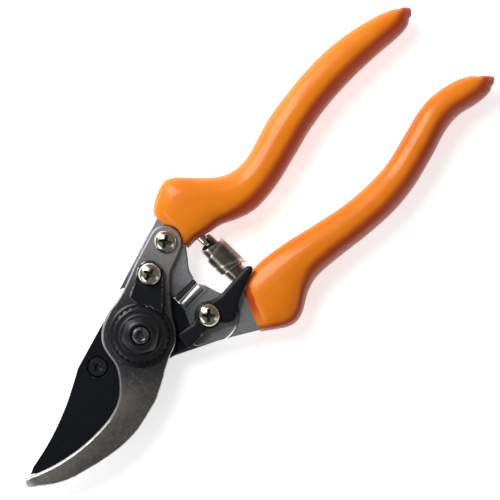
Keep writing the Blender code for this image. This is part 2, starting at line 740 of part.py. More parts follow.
def cross_cutter(name, centre, z_top, turn, cutters):
    """The cross recess of a screw."""
    half, width = CROSS_L / 2, CROSS_W / 2
    points = []
    for k in range(4):
        a = math.radians(90 * k + turn)
        for along, across in ((half, -width), (half, width), (width, width)):
            points.append((
                centre[0] + along * math.cos(a) - across * math.sin(a),
                centre[1] + along * math.sin(a) + across * math.cos(a),
            ))
    return as_cutter(slab(name, points, z_top - CROSS_DEPTH, z_top + 1, cutters))


def pan_screw(name, centre, z_seat, length, turn, parts, cutters, paint):
    """A pan-head cross-recess screw: domed head on z_seat and a shank down from it."""
    top = z_seat + SCREW_HEAD_T
    screw = turned(name, [
        (0, top), (1.4, top - 0.08), (2.5, top - 0.35), (3.3, top - 0.85),
        (SCREW_HEAD_R, top - 1.7), (SCREW_HEAD_R, z_seat), (SCREW_R, z_seat),
        (SCREW_R, z_seat - length + 0.5), (SCREW_R - 0.5, z_seat - length), (0, z_seat - length),
    ], parts, paint, 24)
    screw.location = Vector((*centre, 0)) * MM
    boolean(screw, cross_cutter(name + "_cross", centre, top, turn, cutters), "DIFFERENCE")
    return screw


# ---------------------------------------------------------------- the moving half


def blade_arm(parts, cutters, paint):
    arm = slab("blade_arm", blade_arm_plan(), Z_ARM, Z_ARM_TOP, parts, paint, (), 0.5)
    lap = as_cutter(slab("blade_arm_lap", blade_arm_lap(), Z_ARM, Z_LAP_TOP, cutters))
    boolean(arm, lap, "UNION")
    rings = sunk_root(core_rings(BLADE_HANDLE, SKIN_GAP, BLADE_TANG_UP), BLADE_TANG_UP)
    core = as_cutter(ring_loft("blade_arm_core", rings, cutters))
    boolean(arm, core, "UNION")
    boolean(arm, stop_bead(cutters), "UNION")
    drill(arm, {
        "bolt": ((0, 0), SHANK_R), "blade_screw": (BLADE_SCREW, SCREW_R),
        "catch_screw": (CATCH_PIVOT, SCREW_R),
    }, cutters)
    boolean(arm, spring_seat("blade_arm_peg_seat", -1, cutters), "DIFFERENCE")
    return arm


def stop_bead(cutters):
    """The rounded stop that meets the buffer when the handles are shut."""
    length = BUFFER_TOP_Y - BUFFER_END_Y
    work = bmesh.new()
    bmesh.ops.create_cone(
        work, cap_ends=True, segments=24, radius1=BEAD_R * MM, radius2=BEAD_R * MM,
        depth=length * MM)
    mesh = bpy.data.meshes.new("stop_bead")
    work.to_mesh(mesh)
    work.free()
    bead = as_cutter(place("stop_bead", mesh, cutters))
    bead.rotation_euler = (math.radians(90), 0, 0)
    low_x = BUFFER_FACE_X - BUFFER_T
    bead.location = Vector((
        low_x - GAP - BEAD_R, (BUFFER_TOP_Y + BUFFER_END_Y) / 2, Z_ARM_TOP + BEAD_RISE - BEAD_R,
    )) * MM
    return bead


def cutting_blade(parts, cutters, paint):
    """The blade: its flat side faces the hook, and its edge is ground from the other side."""
    outline, edge_count = blade_outline()
    land, grind = 0.35, 4.6
    ground = []
    for i, (x, y) in enumerate(outline):
        if 0 < i < edge_count - 1:
            before, after = outline[i - 1], outline[i + 1]
            along = (Vector(after) - Vector(before)).normalized()
            share = math.sin(math.pi * i / (edge_count - 1)) ** 0.5
            x, y = x + along.y * grind * share, y - along.x * grind * share
        ground.append((x, y))
    z_top = Z_BLADE + BLADE_T
    rings = [
        [(x, y, Z_BLADE) for x, y in ground],
        [(x, y, z_top - land) for x, y in outline],
        [(x, y, z_top) for x, y in outline],
    ]
    blade = ring_loft("cutting_blade", rings, parts, paint)
    drill(blade, {"bolt": ((0, 0), SHANK_R), "blade_screw": (BLADE_SCREW, SCREW_R)}, cutters)
    boolean(blade, rod("blade_counterbore", BLADE_SCREW, COUNTERBORE_R,
                       z_top - BLADE_SCREW_HEAD_T - GAP, z_top + 2, cutters), "DIFFERENCE")
    return blade


def blade_screw(parts, cutters, paint):
    """A flat-head screw sunk in the blade, threaded into the arm's thinned end."""
    top = Z_BLADE + BLADE_T - GAP
    seat = top - BLADE_SCREW_HEAD_T + GAP
    end = Z_ARM + 0.3
    screw = turned("blade_screw", [
        (0, top), (BLADE_SCREW_HEAD_R - 0.4, top), (BLADE_SCREW_HEAD_R, top - 0.4),
        (BLADE_SCREW_HEAD_R, seat), (SCREW_R, seat), (SCREW_R, end), (0, end),
    ], parts, paint, 24)
    screw.location = Vector((*BLADE_SCREW, 0)) * MM
    boolean(screw, cross_cutter("blade_screw_cross", BLADE_SCREW, top, 8, cutters), "DIFFERENCE")
    return screw


def safety_catch(parts, paint):
    hole = circle(CATCH_PIVOT, CATCH_BUSH_R + GAP, 24)
    catch = slab("safety_catch", catch_outline(), Z_CATCH, Z_CATCH_TOP, parts, paint, [hole], 0.45)
    return catch


def catch_fittings(parts, paint):
    """The bush the catch turns on, and the wave washer that keeps it where it is put."""
    bush = ring("catch_bush", SCREW_R + GAP, CATCH_BUSH_R, Z_WAVE, Z_CATCH_TOP + GAP, parts, paint, 24)
    wave = ring("catch_wave_washer", CATCH_BUSH_R + GAP, WAVE_R, Z_WAVE, Z_WAVE + WAVE_T, parts,
                paint, 24)
    for piece in (bush, wave):
        piece.location = Vector((*CATCH_PIVOT, 0)) * MM


# ---------------------------------------------------------------- spring


def strip_ring(turns):
    """The spring strip's four corners at a number of turns from its middle."""
    side = math.copysign(1, turns)
    reach = abs(turns)
    radius = SPRING_R - SPRING_PITCH * reach
    middle = SPRING_STEP * turns
    outer = middle + side * SPRING_STRIP_W / 2
    plain = middle - side * SPRING_STRIP_W / 2
    clear = side * 0.2
    blend = min(1.0, reach / 0.15)
    inner = plain + (max(plain * side, clear * side) * side - plain) * blend
    a = 2 * math.pi * turns + math.radians(SPRING_PHASE)
    corners = []
    for along, depth in ((inner, 0), (outer, 0), (outer, SPRING_STRIP_T), (inner, SPRING_STRIP_T)):
        r = radius - depth
        corners.append((
            SPRING_MID_X + along, SPRING_AXIS_Y + r * math.sin(a), Z_MID + r * math.cos(a)))
    return corners if side > 0 else [corners[1], corners[0], corners[3], corners[2]]


def volute_spring(parts, paint):
    count = 22
    low, high = (round(turns * count) for turns in SPRING_TURNS)
    rings = [strip_ring((i or 1e-6) / count) for i in range(-low, high + 1)]
    return ring_loft("volute_spring", rings, parts, paint)


def spring_seat(name, side, cutters):
    """The bore in an arm that holds a spring peg's root."""
    root = as_cutter(turned(name, [
        (0, 30), (PEG_ROOT_R + GAP, 30), (PEG_ROOT_R + GAP, 0), (0, 0)], cutters, sides=20))
    lay_along_x(root, peg_face_x(side), side, -PEG_ROOT_DEPTH - GAP)
    return root


def peg_face_x(side):
    """X of a peg's shoulder, a set depth inside its grip's inner side."""
    return HOOK_FACE_X + PEG_SETS[1] if side > 0 else BLADE_FACE_X - PEG_SETS[0]


def lay_along_x(obj, x, side, offset):
    """Turns a piece from +Z to point at the other handle, with its zero at x."""
    obj.rotation_euler = (0, math.radians(-90 * side), 0)
    obj.location = Vector((x - side * offset, SPRING_AXIS_Y, Z_MID)) * MM


def spring_peg(name, side, parts, paint):
    """The peg inside one end of the spring."""
    face = peg_face_x(side)
    reach = abs(face - (SPRING_HIGH_X if side > 0 else SPRING_LOW_X)) + PEG_REACH
    peg = turned(name, [
        (0, reach), (PEG_TIP_R, reach), (PEG_R, reach - 3.0), (PEG_R, 0.3), (PEG_ROOT_R, 0.3),
        (PEG_ROOT_R, -PEG_ROOT_DEPTH), (0, -PEG_ROOT_DEPTH)], parts, paint, 20)
    lay_along_x(peg, face, side, 0)
    return peg


# ---------------------------------------------------------------- assembly


def main():
    clear_scene()
    parts, cutters = collection("bypass_pruner"), collection("cutters")
    orange = material("orange_vinyl", (0.86, 0.27, 0.02), 0.28, 0.0)
    forged = material("forged_steel", (0.36, 0.37, 0.38), 0.32, 1.0)
    ground = material("ground_steel", (0.48, 0.46, 0.44), 0.36, 1.0)
    black = material("black_coating", (0.012, 0.013, 0.016), 0.35, 0.0)
    bright = material("bright_zinc", (0.75, 0.72, 0.66), 0.2, 1.0)
    spring = material("spring_steel", (0.42, 0.39, 0.36), 0.28, 1.0)
    rubber = material("black_rubber", (0.01, 0.01, 0.012), 0.7, 0.0)

    hook_arm(parts, cutters, forged)
    rubber_buffer(parts, rubber)
    hook_blade(parts, ground)
    pivot_bolt(parts, cutters, black)
    ring("bolt_washer", SHANK_R + GAP, BOLT_WASHER_R, Z_BOLT_WASHER,
         Z_BOLT_WASHER + BOLT_WASHER_T, parts, bright)
    thrust_washer(parts, black)
    pivot_nut(parts, cutters, black)
    lock_segment(parts, cutters, black)
    pan_screw("hook_blade_screw", HOOK_SCREW, Z_HOOK_TOP + GAP, HOOK_T + SCREW_BITE, 30,
              parts, cutters, bright)
    pan_screw("segment_screw", SEGMENT_SCREW, Z_FLANGE_TOP + GAP,
              Z_FLANGE_TOP - Z_HOOK + SCREW_BITE, 12, parts, cutters, bright)
    hook_grip = grip("hook_grip", HOOK_HANDLE, HOOK_TANG_UP, parts, cutters, orange)
    boolean(hook_grip, plate_end_clearance("hook_grip_plate_recess", cutters), "DIFFERENCE")
    boolean(hook_grip, spring_seat("hook_grip_peg_hole", 1, cutters), "DIFFERENCE")
    spring_peg("hook_arm_spring_peg", 1, parts, bright)

    blade_arm(parts, cutters, forged)
    cutting_blade(parts, cutters, black)
    blade_screw(parts, cutters, black)
    blade_grip = grip("blade_grip", BLADE_HANDLE, BLADE_TANG_UP, parts, cutters, orange)
    boolean(blade_grip, spring_seat("blade_grip_peg_hole", -1, cutters), "DIFFERENCE")
    spring_peg("blade_arm_spring_peg", -1, parts, bright)
    safety_catch(parts, black)
    catch_fittings(parts, bright)
    pan_screw("catch_screw", CATCH_PIVOT, Z_CATCH_TOP + 2 * GAP, Z_CATCH_TOP - Z_ARM_TOP + SCREW_BITE,
              42, parts, cutters, bright)

    volute_spring(parts, spring)


main()
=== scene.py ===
"""Bypass pruner, lying shut on a pale table under soft studio light."""

import json
import math

import bmesh
import bpy
import numpy as np
from mathutils import Matrix, Vector

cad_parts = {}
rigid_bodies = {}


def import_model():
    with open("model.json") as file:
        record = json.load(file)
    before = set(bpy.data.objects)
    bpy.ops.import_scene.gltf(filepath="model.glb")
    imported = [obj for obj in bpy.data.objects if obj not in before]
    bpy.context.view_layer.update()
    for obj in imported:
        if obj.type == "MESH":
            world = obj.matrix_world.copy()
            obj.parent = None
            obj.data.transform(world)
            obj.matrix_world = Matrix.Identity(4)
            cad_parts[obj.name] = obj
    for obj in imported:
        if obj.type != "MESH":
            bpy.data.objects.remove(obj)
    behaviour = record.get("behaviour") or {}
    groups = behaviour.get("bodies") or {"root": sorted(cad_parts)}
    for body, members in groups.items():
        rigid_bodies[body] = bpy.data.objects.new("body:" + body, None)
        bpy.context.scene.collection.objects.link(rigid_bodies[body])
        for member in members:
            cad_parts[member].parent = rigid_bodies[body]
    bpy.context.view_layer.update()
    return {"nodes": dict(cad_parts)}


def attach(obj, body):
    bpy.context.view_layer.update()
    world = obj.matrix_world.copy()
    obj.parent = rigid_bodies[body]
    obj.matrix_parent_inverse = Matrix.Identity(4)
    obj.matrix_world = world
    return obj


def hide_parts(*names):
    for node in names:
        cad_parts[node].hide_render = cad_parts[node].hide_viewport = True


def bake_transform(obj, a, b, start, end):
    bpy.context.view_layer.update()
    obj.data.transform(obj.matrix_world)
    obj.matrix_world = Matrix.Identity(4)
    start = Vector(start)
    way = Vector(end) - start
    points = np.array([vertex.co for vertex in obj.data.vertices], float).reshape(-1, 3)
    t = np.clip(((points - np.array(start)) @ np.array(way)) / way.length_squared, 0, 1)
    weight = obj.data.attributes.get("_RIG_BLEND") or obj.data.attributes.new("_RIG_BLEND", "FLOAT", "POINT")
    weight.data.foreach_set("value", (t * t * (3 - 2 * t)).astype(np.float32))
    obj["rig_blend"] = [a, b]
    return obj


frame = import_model()

MM = 0.001

# Levels of the stack on the pivot, from the table up, in millimetres
HEAD_TOP = 3.0
ARM_LOW, ARM_TOP = 4.4, 11.1
LAP_TOP = 8.0
BLADE_LOW, BLADE_TOP = 8.3, 11.1
HOOK_LOW, HOOK_TOP = 11.4, 14.2
DISC_LOW, DISC_TOP = 14.5, 15.3
FLANGE_LOW, FLANGE_TOP = 15.6, 17.4
NUT_TOP, BOLT_TOP = 21.4, 22.0
CATCH_LOW, CATCH_TOP = 12.1, 14.8
MIDDLE = 7.75

# Plan positions and radii, in millimetres
PIVOT = (0.0, 0.0)
HOOK_SCREW = (16.3, -29.1)
SEGMENT_SCREW = (12.4, -17.3)
BLADE_SCREW = (2.8, 18.6)
CATCH_PIVOT = (-12.2, -21.2)
SHANK_R = 4.9
THREAD_R = 3.0
BOSS_R = 16.9
ARM_ARC_R = 17.05
RIM_R = 12.4
PIVOT_HOLE_R = 5.2
ARM_HOLE_R, PLATE_HOLE_R = 2.2, 2.25
BLADE_SCREW_SEAT_R = 3.75
GRIP_NOTCH_R = 5.9      # round the plate's end, in the hook side's grip
SEGMENT_RELIEF_R = 11.6     # under the segment, over the thrust disc
ARM_EDGE = 0.6          # how far the arms' edges are rounded
NUT_TEETH = 26
FIRST_TOOTH = -38       # degrees
TOOTH_TIP_R, TOOTH_ROOT_R = 9.9, 9.1
JAW_Y, TIP_Y = 13.4, 65.3
SPRING_R = 5.0
SPRING_TOP = MIDDLE + SPRING_R
GRIP_POWER = 2.3        # how square a grip's section is along the hand
SHOULDER_POWER = 3.1    # and at its collar
CREASE_AT = 103         # which of a grip's rings the nib's crease lies on

HOOK_COLLAR_Y, HOOK_GRIP_LEN = -32.9, 113.8
BLADE_COLLAR_Y, BLADE_GRIP_LEN = -29.4, 120.6
# share down the outer side, x there, share down the inner side, x there, half the thickness
HOOK_GRIP = [
    (0.000, 25.7, 0.000, 8.8, 4.4), (0.031, 28.6, 0.040, 8.7, 6.9),
    (0.085, 31.0, 0.085, 7.3, 7.6), (0.125, 29.6, 0.125, 6.2, 7.7),
    (0.188, 22.1, 0.172, 3.5, 7.7), (0.235, 17.7, 0.225, 1.6, 7.7),
    (0.290, 16.0, 0.280, 1.5, 7.7), (0.350, 16.8, 0.345, 2.4, 7.7),
    (0.450, 20.0, 0.440, 4.9, 7.6), (0.535, 21.5, 0.530, 7.3, 7.5),
    (0.634, 22.4, 0.630, 8.7, 7.0), (0.730, 22.3, 0.734, 9.0, 6.9),
    (0.820, 20.9, 0.830, 8.4, 6.7), (0.900, 18.5, 0.905, 7.6, 6.3),
    (0.950, 16.3, 0.950, 7.7, 5.2), (0.985, 13.9, 0.985, 9.2, 3.2),
    (1.000, 12.2, 1.000, 10.6, 1.8),
]
BLADE_GRIP = [
    (0.000, -29.3, 0.053, -14.6, 4.4), (0.029, -32.1, 0.078, -13.3, 7.1),
    (0.076, -35.7, 0.113, -12.5, 7.6), (0.120, -35.6, 0.150, -12.5, 7.7),
    (0.182, -31.7, 0.200, -13.4, 7.7), (0.235, -30.3, 0.260, -14.9, 7.7),
    (0.320, -31.2, 0.335, -17.2, 7.7), (0.420, -32.9, 0.430, -19.7, 7.5),
    (0.520, -33.7, 0.520, -20.8, 7.4), (0.610, -32.8, 0.605, -20.5, 7.0),
    (0.710, -30.0, 0.705, -17.8, 6.9), (0.790, -27.2, 0.781, -15.7, 6.8),
    (0.850, -26.7, 0.840, -15.4, 6.6), (0.910, -28.4, 0.905, -17.1, 6.2),
    (0.955, -28.9, 0.947, -19.3, 5.2), (0.985, -28.0, 0.978, -22.6, 3.4),
    (1.000, -26.8, 0.998, -25.2, 1.8),
]


# ---- plan drawing


def polar(centre, radius, degrees):
    a = math.radians(degrees)
    return (centre[0] + radius * math.cos(a), centre[1] + radius * math.sin(a))


def arc(centre, radius, start, end, step=4.0):
    n = max(3, math.ceil(abs(end - start) / step) + 1)
    return [polar(centre, radius, start + (end - start) * i / (n - 1)) for i in range(n)]


def circle(centre, radius, sides=64):
    return [polar(centre, radius, 360 * i / sides) for i in range(sides)]


def catmull(p0, p1, p2, p3, t):
    return tuple(
        0.5 * (2 * b + (c - a) * t + (2 * a - 5 * b + 4 * c - d) * t * t
               + (3 * b - a - 3 * c + d) * t ** 3)
        for a, b, c, d in zip(p0, p1, p2, p3)
    )


def smooth(points, per_span=6):
    ends = [points[0], *points, points[-1]]
    found = [
        catmull(*ends[i:i + 4], k / per_span)
        for i in range(len(points) - 1)
        for k in range(per_span)
    ]
    return [*found, points[-1]]


def along_jaw(share):
    return JAW_Y + share * (TIP_Y - JAW_Y)


def jaw_curve(pairs, per_span=5):
    return smooth([(x, along_jaw(share)) for share, x in pairs], per_span)


def area(points):
    return sum(a[0] * b[1] - b[0] * a[1] for a, b in zip(points, points[1:] + points[:1])) / 2


def tidy(points, least=0.03):
    """The outline the left way round, with points that almost coincide left out."""
    kept = []
    for p in points:
        if not kept or math.dist(p, kept[-1]) > least:
            kept.append(tuple(p))
    while math.dist(kept[0], kept[-1]) <= least:
        kept.pop()
    return kept if area(kept) > 0 else kept[::-1]


def rounded(points, radius, from_degrees=14.0):
    """The outline with an arc in place of each corner, of this radius where there's room."""
    points = tidy(points)
    n = len(points)
    found = []
    for i in range(n):
        before, here, after = (Vector(points[k % n]) for k in (i - 1, i, i + 1))
        come, go = here - before, after - here
        turn = -come.angle_signed(go)
        if abs(math.degrees(turn)) < from_degrees:
            found.append(tuple(here))
            continue
        spread = math.tan(abs(turn) / 2)
        cut = min(radius * spread, come.length * 0.48, go.length * 0.48)
        start = here - come.normalized() * cut
        side = math.copysign(cut / spread, turn)
        centre = start + Vector((-come.y, come.x)).normalized() * side
        steps = max(3, math.ceil(abs(math.degrees(turn)) / 15))
        for k in range(steps + 1):
            a = turn * k / steps
            arm = start - centre
            found.append((
                centre.x + arm.x * math.cos(a) - arm.y * math.sin(a),
                centre.y + arm.x * math.sin(a) + arm.y * math.cos(a)))
    return tidy(found)


def inward(points):
    """For each point of an outline, the way in and how squarely it faces its two edges."""
    line = np.array(points)
    come = line - np.roll(line, 1, axis=0)
    come /= np.linalg.norm(come, axis=1)[:, None]
    go = np.roll(come, -1, axis=0)
    way = np.stack([-come[:, 1] - go[:, 1], come[:, 0] + go[:, 0]], axis=1)
    way /= np.linalg.norm(way, axis=1)[:, None]
    square = way[:, 0] * -come[:, 1] + way[:, 1] * come[:, 0]
    return line, way, square


def inset(points, amounts):
    """The outline moved inwards, by one amount or one for each point."""
    line, way, square = inward(points)
    moved = line + way * (np.asarray(amounts) / np.maximum(0.6, square))[:, None]
    return [tuple(p) for p in moved.tolist()]


def crossings(points):
    """Pairs of an outline's edges that cross each other."""
    a = np.array(points)
    b = np.roll(a, -1, axis=0)

    def side(start, end, point):
        along, out = end - start, point - start
        return along[..., 0] * out[..., 1] - along[..., 1] * out[..., 0]

    a_i, b_i, a_j, b_j = a[:, None], b[:, None], a[None], b[None]
    crossed = (side(a_i, b_i, a_j) * side(a_i, b_i, b_j) < 0) & (
        side(a_j, b_j, a_i) * side(a_j, b_j, b_i) < 0)
    return [(i, j) for i, j in np.argwhere(crossed).tolist() if i < j]


def room(points, amounts):
    """The amounts, less wherever the outline is too narrow or too tightly bent for them."""
    line, _, square = inward(points)
    held = np.array(amounts, float) * np.ones(len(points))
    start, along = line, np.roll(line, -1, axis=0) - line
    length = (along ** 2).sum(axis=1)
    for _ in range(24):
        moved = np.array(inset(points, held))
        offset = moved[:, None, :] - start[None, :, :]
        share = np.clip((offset * along).sum(axis=2) / length, 0, 1)
        gap = np.linalg.norm(offset - share[:, :, None] * along, axis=2).min(axis=1)
        tight = gap < held * 0.96 * np.minimum(1, square / 0.6)
        if not tight.any():
            break
        held[tight] *= 0.86
    for _ in range(3):
        held = np.minimum(held, (np.roll(held, 1) + np.roll(held, -1)) / 2 + 0.05)
    count = len(points)
    for _ in range(40):
        pairs = crossings(inset(points, held))
        if not pairs:
            break
        for low, high in pairs:
            if high - low > count / 2:
                low, high = high, low + count
            held[[k % count for k in range(low, high + 2)]] *= 0.8
    return held


# ---- making pieces


def new_object(name, data):
    obj = bpy.data.objects.new(name, data)
    bpy.context.scene.collection.objects.link(obj)
    return obj


def opened(mesh):
    work = bmesh.new()
    work.from_mesh(mesh)
    return work


def closed(work, mesh):
    """The mesh written from the work, with its faces turned outwards."""
    bmesh.ops.recalc_face_normals(work, faces=work.faces)
    work.to_mesh(mesh)
    work.free()
    return mesh


def at_level(points, z):
    return [(x, y, z) for x, y in points]


def above(base, *profile):
    """Points of a turned profile, their heights given from a base."""
    return [(r, base + z) for r, z in profile]


def unit(value):
    return min(1.0, max(0.0, value))


def skin(name, rings, ends=True):
    """A skin over rings of points in millimetres, with flat ends."""
    work = bmesh.new()
    rows = [[work.verts.new(Vector(p) * MM) for p in ring] for ring in rings]
    count = len(rows[0])
    for low, high in zip(rows, rows[1:]):
        for i in range(count):
            j = (i + 1) % count
            work.faces.new((low[i], low[j], high[j], high[i]))
    if ends:
        work.faces.new(list(reversed(rows[0])))
        work.faces.new(rows[-1])
    return new_object(name, closed(work, bpy.data.meshes.new(name)))


def slab(name, outline, low, high, top=0.4, bottom=0.4, steps=4, spread=1.0):
    """A flat piece with rounded edges; spread makes the top's rounding wider than it's deep."""
    points = tidy(outline)
    rings = []
    for edge, level, inwards, wide in ((bottom, low, 1, bottom), (top, high, -1, top * spread)):
        held = room(points, wide)
        for k in range(steps + 1) if edge else [steps]:
            a = math.pi / 2 * k / steps
            rings.append((level + inwards * edge * (1 - math.sin(a)), 1 - math.cos(a), held))
    return skin(name, [
        at_level(inset(points, share * held), z)
        for z, share, held in sorted(rings, key=lambda ring: ring[0])])


def turned(name, profile, centre=PIVOT, sides=96):
    """A turned piece about Z from (radius, z) points; a profile off the axis makes a ring."""
    work = bmesh.new()
    rows = []
    for r, z in profile:
        plan = [polar(centre, r, 360 * i / sides) for i in range(sides)] if r else [centre]
        rows.append([work.verts.new(Vector((*point, z)) * MM) for point in plan])
    pairs = list(zip(rows, rows[1:]))
    if profile[0][0]:
        pairs.append((rows[-1], rows[0]))
    for a, b in pairs:
        for i in range(sides):
            j = (i + 1) % sides
            corners = [a[i % len(a)], a[j % len(a)], b[j % len(b)], b[i % len(b)]]
            unique = list(dict.fromkeys(corners))
            if len(unique) > 2:
                work.faces.new(unique)
    return new_object(name, closed(work, bpy.data.meshes.new(name)))


def apply_modifiers(obj):
    """The object's modifiers made part of its mesh."""
    bpy.context.view_layer.update()
    graph = bpy.context.evaluated_depsgraph_get()
    made = bpy.data.meshes.new_from_object(obj.evaluated_get(graph))
    obj.modifiers.clear()
    obj.data = made
    return obj


def shaped(obj, operation, *tools):
    """obj with each tool cut from it, joined to it or kept in common; the tools are used up."""
    for tool in tools:
        step = obj.modifiers.new(operation, "BOOLEAN")
        step.operation = operation
        step.object = tool
        step.solver = "EXACT"
    apply_modifiers(obj)
    for tool in tools:
        bpy.data.objects.remove(tool)
    return obj


def bore(centre, radius, low, high, sides=64, chamfer=0.0, mouth=None):
    """A drill for a hole, with a chamfered mouth at a level if one is given."""
    profile = [(0, low), (radius, low)]
    if mouth is not None:
        wide = radius + chamfer + 0.02
        profile += [(radius, mouth - chamfer), (wide, mouth + 0.02), (wide, high)]
    else:
        profile.append((radius, high))
    return turned("drill", [*profile, (0, high)], centre, sides)


def drills(low, top, *holes):
    """Drills for plain holes of (centre, radius), from 1 mm under a piece to 1 mm over it."""
    return [bore(centre, radius, low - 1, top + 1) for centre, radius in holes]


def crisp(obj, degrees=32.0):
    """Smooth faces, sharp edges round flats, and a mark on each rounded edge for its wear."""
    mesh = obj.data
    work = opened(mesh)
    bmesh.ops.dissolve_degenerate(work, edges=work.edges, dist=1e-7)
    limit, flat_limit = math.radians(degrees), math.radians(3.0)
    for face in work.faces:
        face.smooth = True
    for edge in work.edges:
        if len(edge.link_faces) == 2:
            angle = edge.calc_face_angle(0.0)
            cap = any(abs(face.normal.z) > 0.9995 for face in edge.link_faces)
            edge.smooth = angle <= (flat_limit if cap else limit)
    work.to_mesh(mesh)
    work.free()
    even = obj.modifiers.new("even_normals", "WEIGHTED_NORMAL")
    even.keep_sharp = True
    even.weight = 90
    apply_modifiers(obj)
    values = []
    for face in obj.data.polygons:
        values += [float(0.12 < abs(face.normal.z) < 0.985)] * face.loop_total
    obj.data.attributes.new("worn", "FLOAT", "CORNER").data.foreach_set("value", values)
    return obj


def soften(obj, degrees):
    """Smooth faces, with an edge only where they turn by more than this."""
    for face in obj.data.polygons:
        face.use_smooth = True
    obj.data.set_sharp_from_angle(angle=math.radians(degrees))


def paint(mesh, *finishes):
    mesh.materials.clear()
    for finish in finishes:
        mesh.materials.append(finish)


def dress(obj, finishes, body, nodes, pick=None):
    """The piece's finishes, the body it rides on and the parts it stands for."""
    paint(obj.data, *(finishes if isinstance(finishes, list) else [finishes]))
    if pick:
        for face in obj.data.polygons:
            face.material_index = pick(face)
    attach(obj, body)
    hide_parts(*nodes)


# ---- finishes


class Wire:
    """A value in a node tree that adds, multiplies and so on like a number."""

    def __init__(self, nodes, socket):
        self.nodes = nodes
        self.socket = socket

    def maths(self, operation, *others):
        return self.nodes.maths(operation, self, *others)

    def __add__(self, other):
        return self.maths("ADD", other)

    __radd__ = __add__

    def __sub__(self, other):
        return self.maths("SUBTRACT", other)

    def __rsub__(self, other):
        return self.nodes.maths("SUBTRACT", other, self)

    def __mul__(self, other):
        return self.maths("MULTIPLY", other)

    __rmul__ = __mul__

    def __truediv__(self, other):
        return self.maths("DIVIDE", other)

    def most(self, other):
        return self.maths("MAXIMUM", other)

    def least(self, other):
        return self.maths("MINIMUM", other)

    def step(self, low, high):
        """0 below low, 1 above high and smooth in between; low may be the larger."""
        return self.nodes.add(
            "MapRange", {"interpolation_type": "SMOOTHSTEP"},
            {"Value": self, "From Min": low, "From Max": high})


class Nodes:
    """A node tree, of a material or of geometry."""

    def add(self, kind, settings=None, sockets=None, output=0):
        """A node of a kind, its settings, and its sockets' values or links, by name or number."""
        node = self.tree.nodes.new(kind if "Node" in kind else "ShaderNode" + kind)
        for key, value in (settings or {}).items():
            setattr(node, key, value)
        for key, value in (sockets or {}).items():
            if isinstance(value, Wire):
                self.tree.links.new(value.socket, node.inputs[key])
            else:
                node.inputs[key].default_value = value
        return Wire(self, node.outputs[output])

    def maths(self, operation, *values):
        return self.add("Math", {"operation": operation}, dict(enumerate(values)))


class Finish(Nodes):
    """A material, and the nodes that make it."""

    def __init__(self, name, metallic=0.0, **fixed):
        self.material = bpy.data.materials.new(name)
        self.material.use_nodes = True
        self.tree = self.material.node_tree
        self.shader = self.tree.nodes["Principled BSDF"]
        for socket, value in {"Metallic": metallic, **fixed}.items():
            self.shader.inputs[socket.replace("_", " ")].default_value = value
        self.place = self.add("TexCoord", output="Object")

    def noise(self, scale, detail=3.0, roughness=0.55, stretch=(1, 1, 1), turn=0.0, warp=0.0):
        """Cloudy noise at a scale per metre, stretched and turned in plan."""
        where = self.add("Mapping", {}, {
            "Vector": self.place, "Scale": stretch, "Rotation": (0, 0, math.radians(turn))})
        return self.add("TexNoise", {}, {
            "Vector": where, "Scale": scale, "Detail": detail, "Roughness": roughness,
            "Distortion": warp}, "Fac")

    def cells(self, scale):
        return self.add("TexVoronoi", {}, {"Vector": self.place, "Scale": scale}, "Distance")

    def mark(self, name="worn"):
        return self.add("Attribute", {"attribute_name": name}, {}, "Fac")

    def across(self, axis):
        return self.add("SeparateXYZ", {}, {"Vector": self.place}, axis)

    def from_pivot(self):
        return self.add("VectorMath", {"operation": "LENGTH"}, {"Vector": self.place}, "Value")

    def mix(self, factor, first, second):
        """A colour between two colours."""
        ends = {6: first, 7: second}
        return self.add("Mix", {"data_type": "RGBA"}, {0: factor, **{
            key: end if isinstance(end, Wire) else (*end, 1.0) for key, end in ends.items()}}, 2)

    def set(self, colour, roughness, metallic=None, coat=None, bumps=()):
        """Links what varies; bumps are (height, metres, strength), each laid on the last."""
        normal = None
        for height, distance, strength in bumps:
            sockets = {"Height": height, "Distance": distance, "Strength": strength}
            if normal:
                sockets["Normal"] = normal
            normal = self.add("Bump", {}, sockets)
        for name, value in {"Base Color": colour, "Roughness": roughness, "Metallic": metallic,
                            "Coat Weight": coat, "Normal": normal}.items():
            if isinstance(value, Wire):
                self.tree.links.new(value.socket, self.shader.inputs[name])
            elif value is not None:
                self.shader.inputs[name].default_value = value
        return self.material


def orange_vinyl():
    """Dipped vinyl: glossy, a little uneven, with faint runs down the handle, and painted shade and painted
    floor bounce along one edge.
    """
    f = Finish("dipped_orange_vinyl", IOR=1.5, Specular_IOR_Level=0.22, Coat_Roughness=0.12,
               Subsurface_Weight=0.10,
               Subsurface_Radius=(1.0, 0.25, 0.08), Subsurface_Scale=0.003)
    cloud = f.noise(60, 3)
    runs = f.noise(90, 2, stretch=(1, 0.16, 1))
    peel = f.noise(620, 2, 0.5)
    grain = f.noise(3800, 2, 0.6)
    scuff = f.noise(260, 5, 0.7, stretch=(0.5, 1.6, 1), turn=24).step(0.60, 0.74)
    painted_shade_and_bounce = f.mark("painted_shade_and_bounce")
    colour = f.mix(cloud.step(0.3, 0.7), (0.84, 0.205, 0.004), (0.89, 0.240, 0.006))
    # painted shade: deep red through the band along the grip's edge at -X, away from the key light
    colour = f.mix(painted_shade_and_bounce.step(0.0, 0.46) * 0.88, colour, (0.42, 0.036, 0.008))
    # painted reflection: a pinkish rim of floor bounce nearest that edge
    colour = f.mix(painted_shade_and_bounce.step(0.50, 0.72) * 0.80, colour, (0.60, 0.170, 0.115))
    colour = f.mix(scuff * 0.12, colour, (0.93, 0.36, 0.07))
    rough = 0.36 + runs * 0.10 + scuff * 0.14 + grain * 0.05
    return f.set(colour, rough, coat=0.22 - 0.12 * scuff, bumps=[
        (runs, 0.0004, 0.22), (peel, 0.00012, 0.25), (grain, 0.00003, 0.3)])


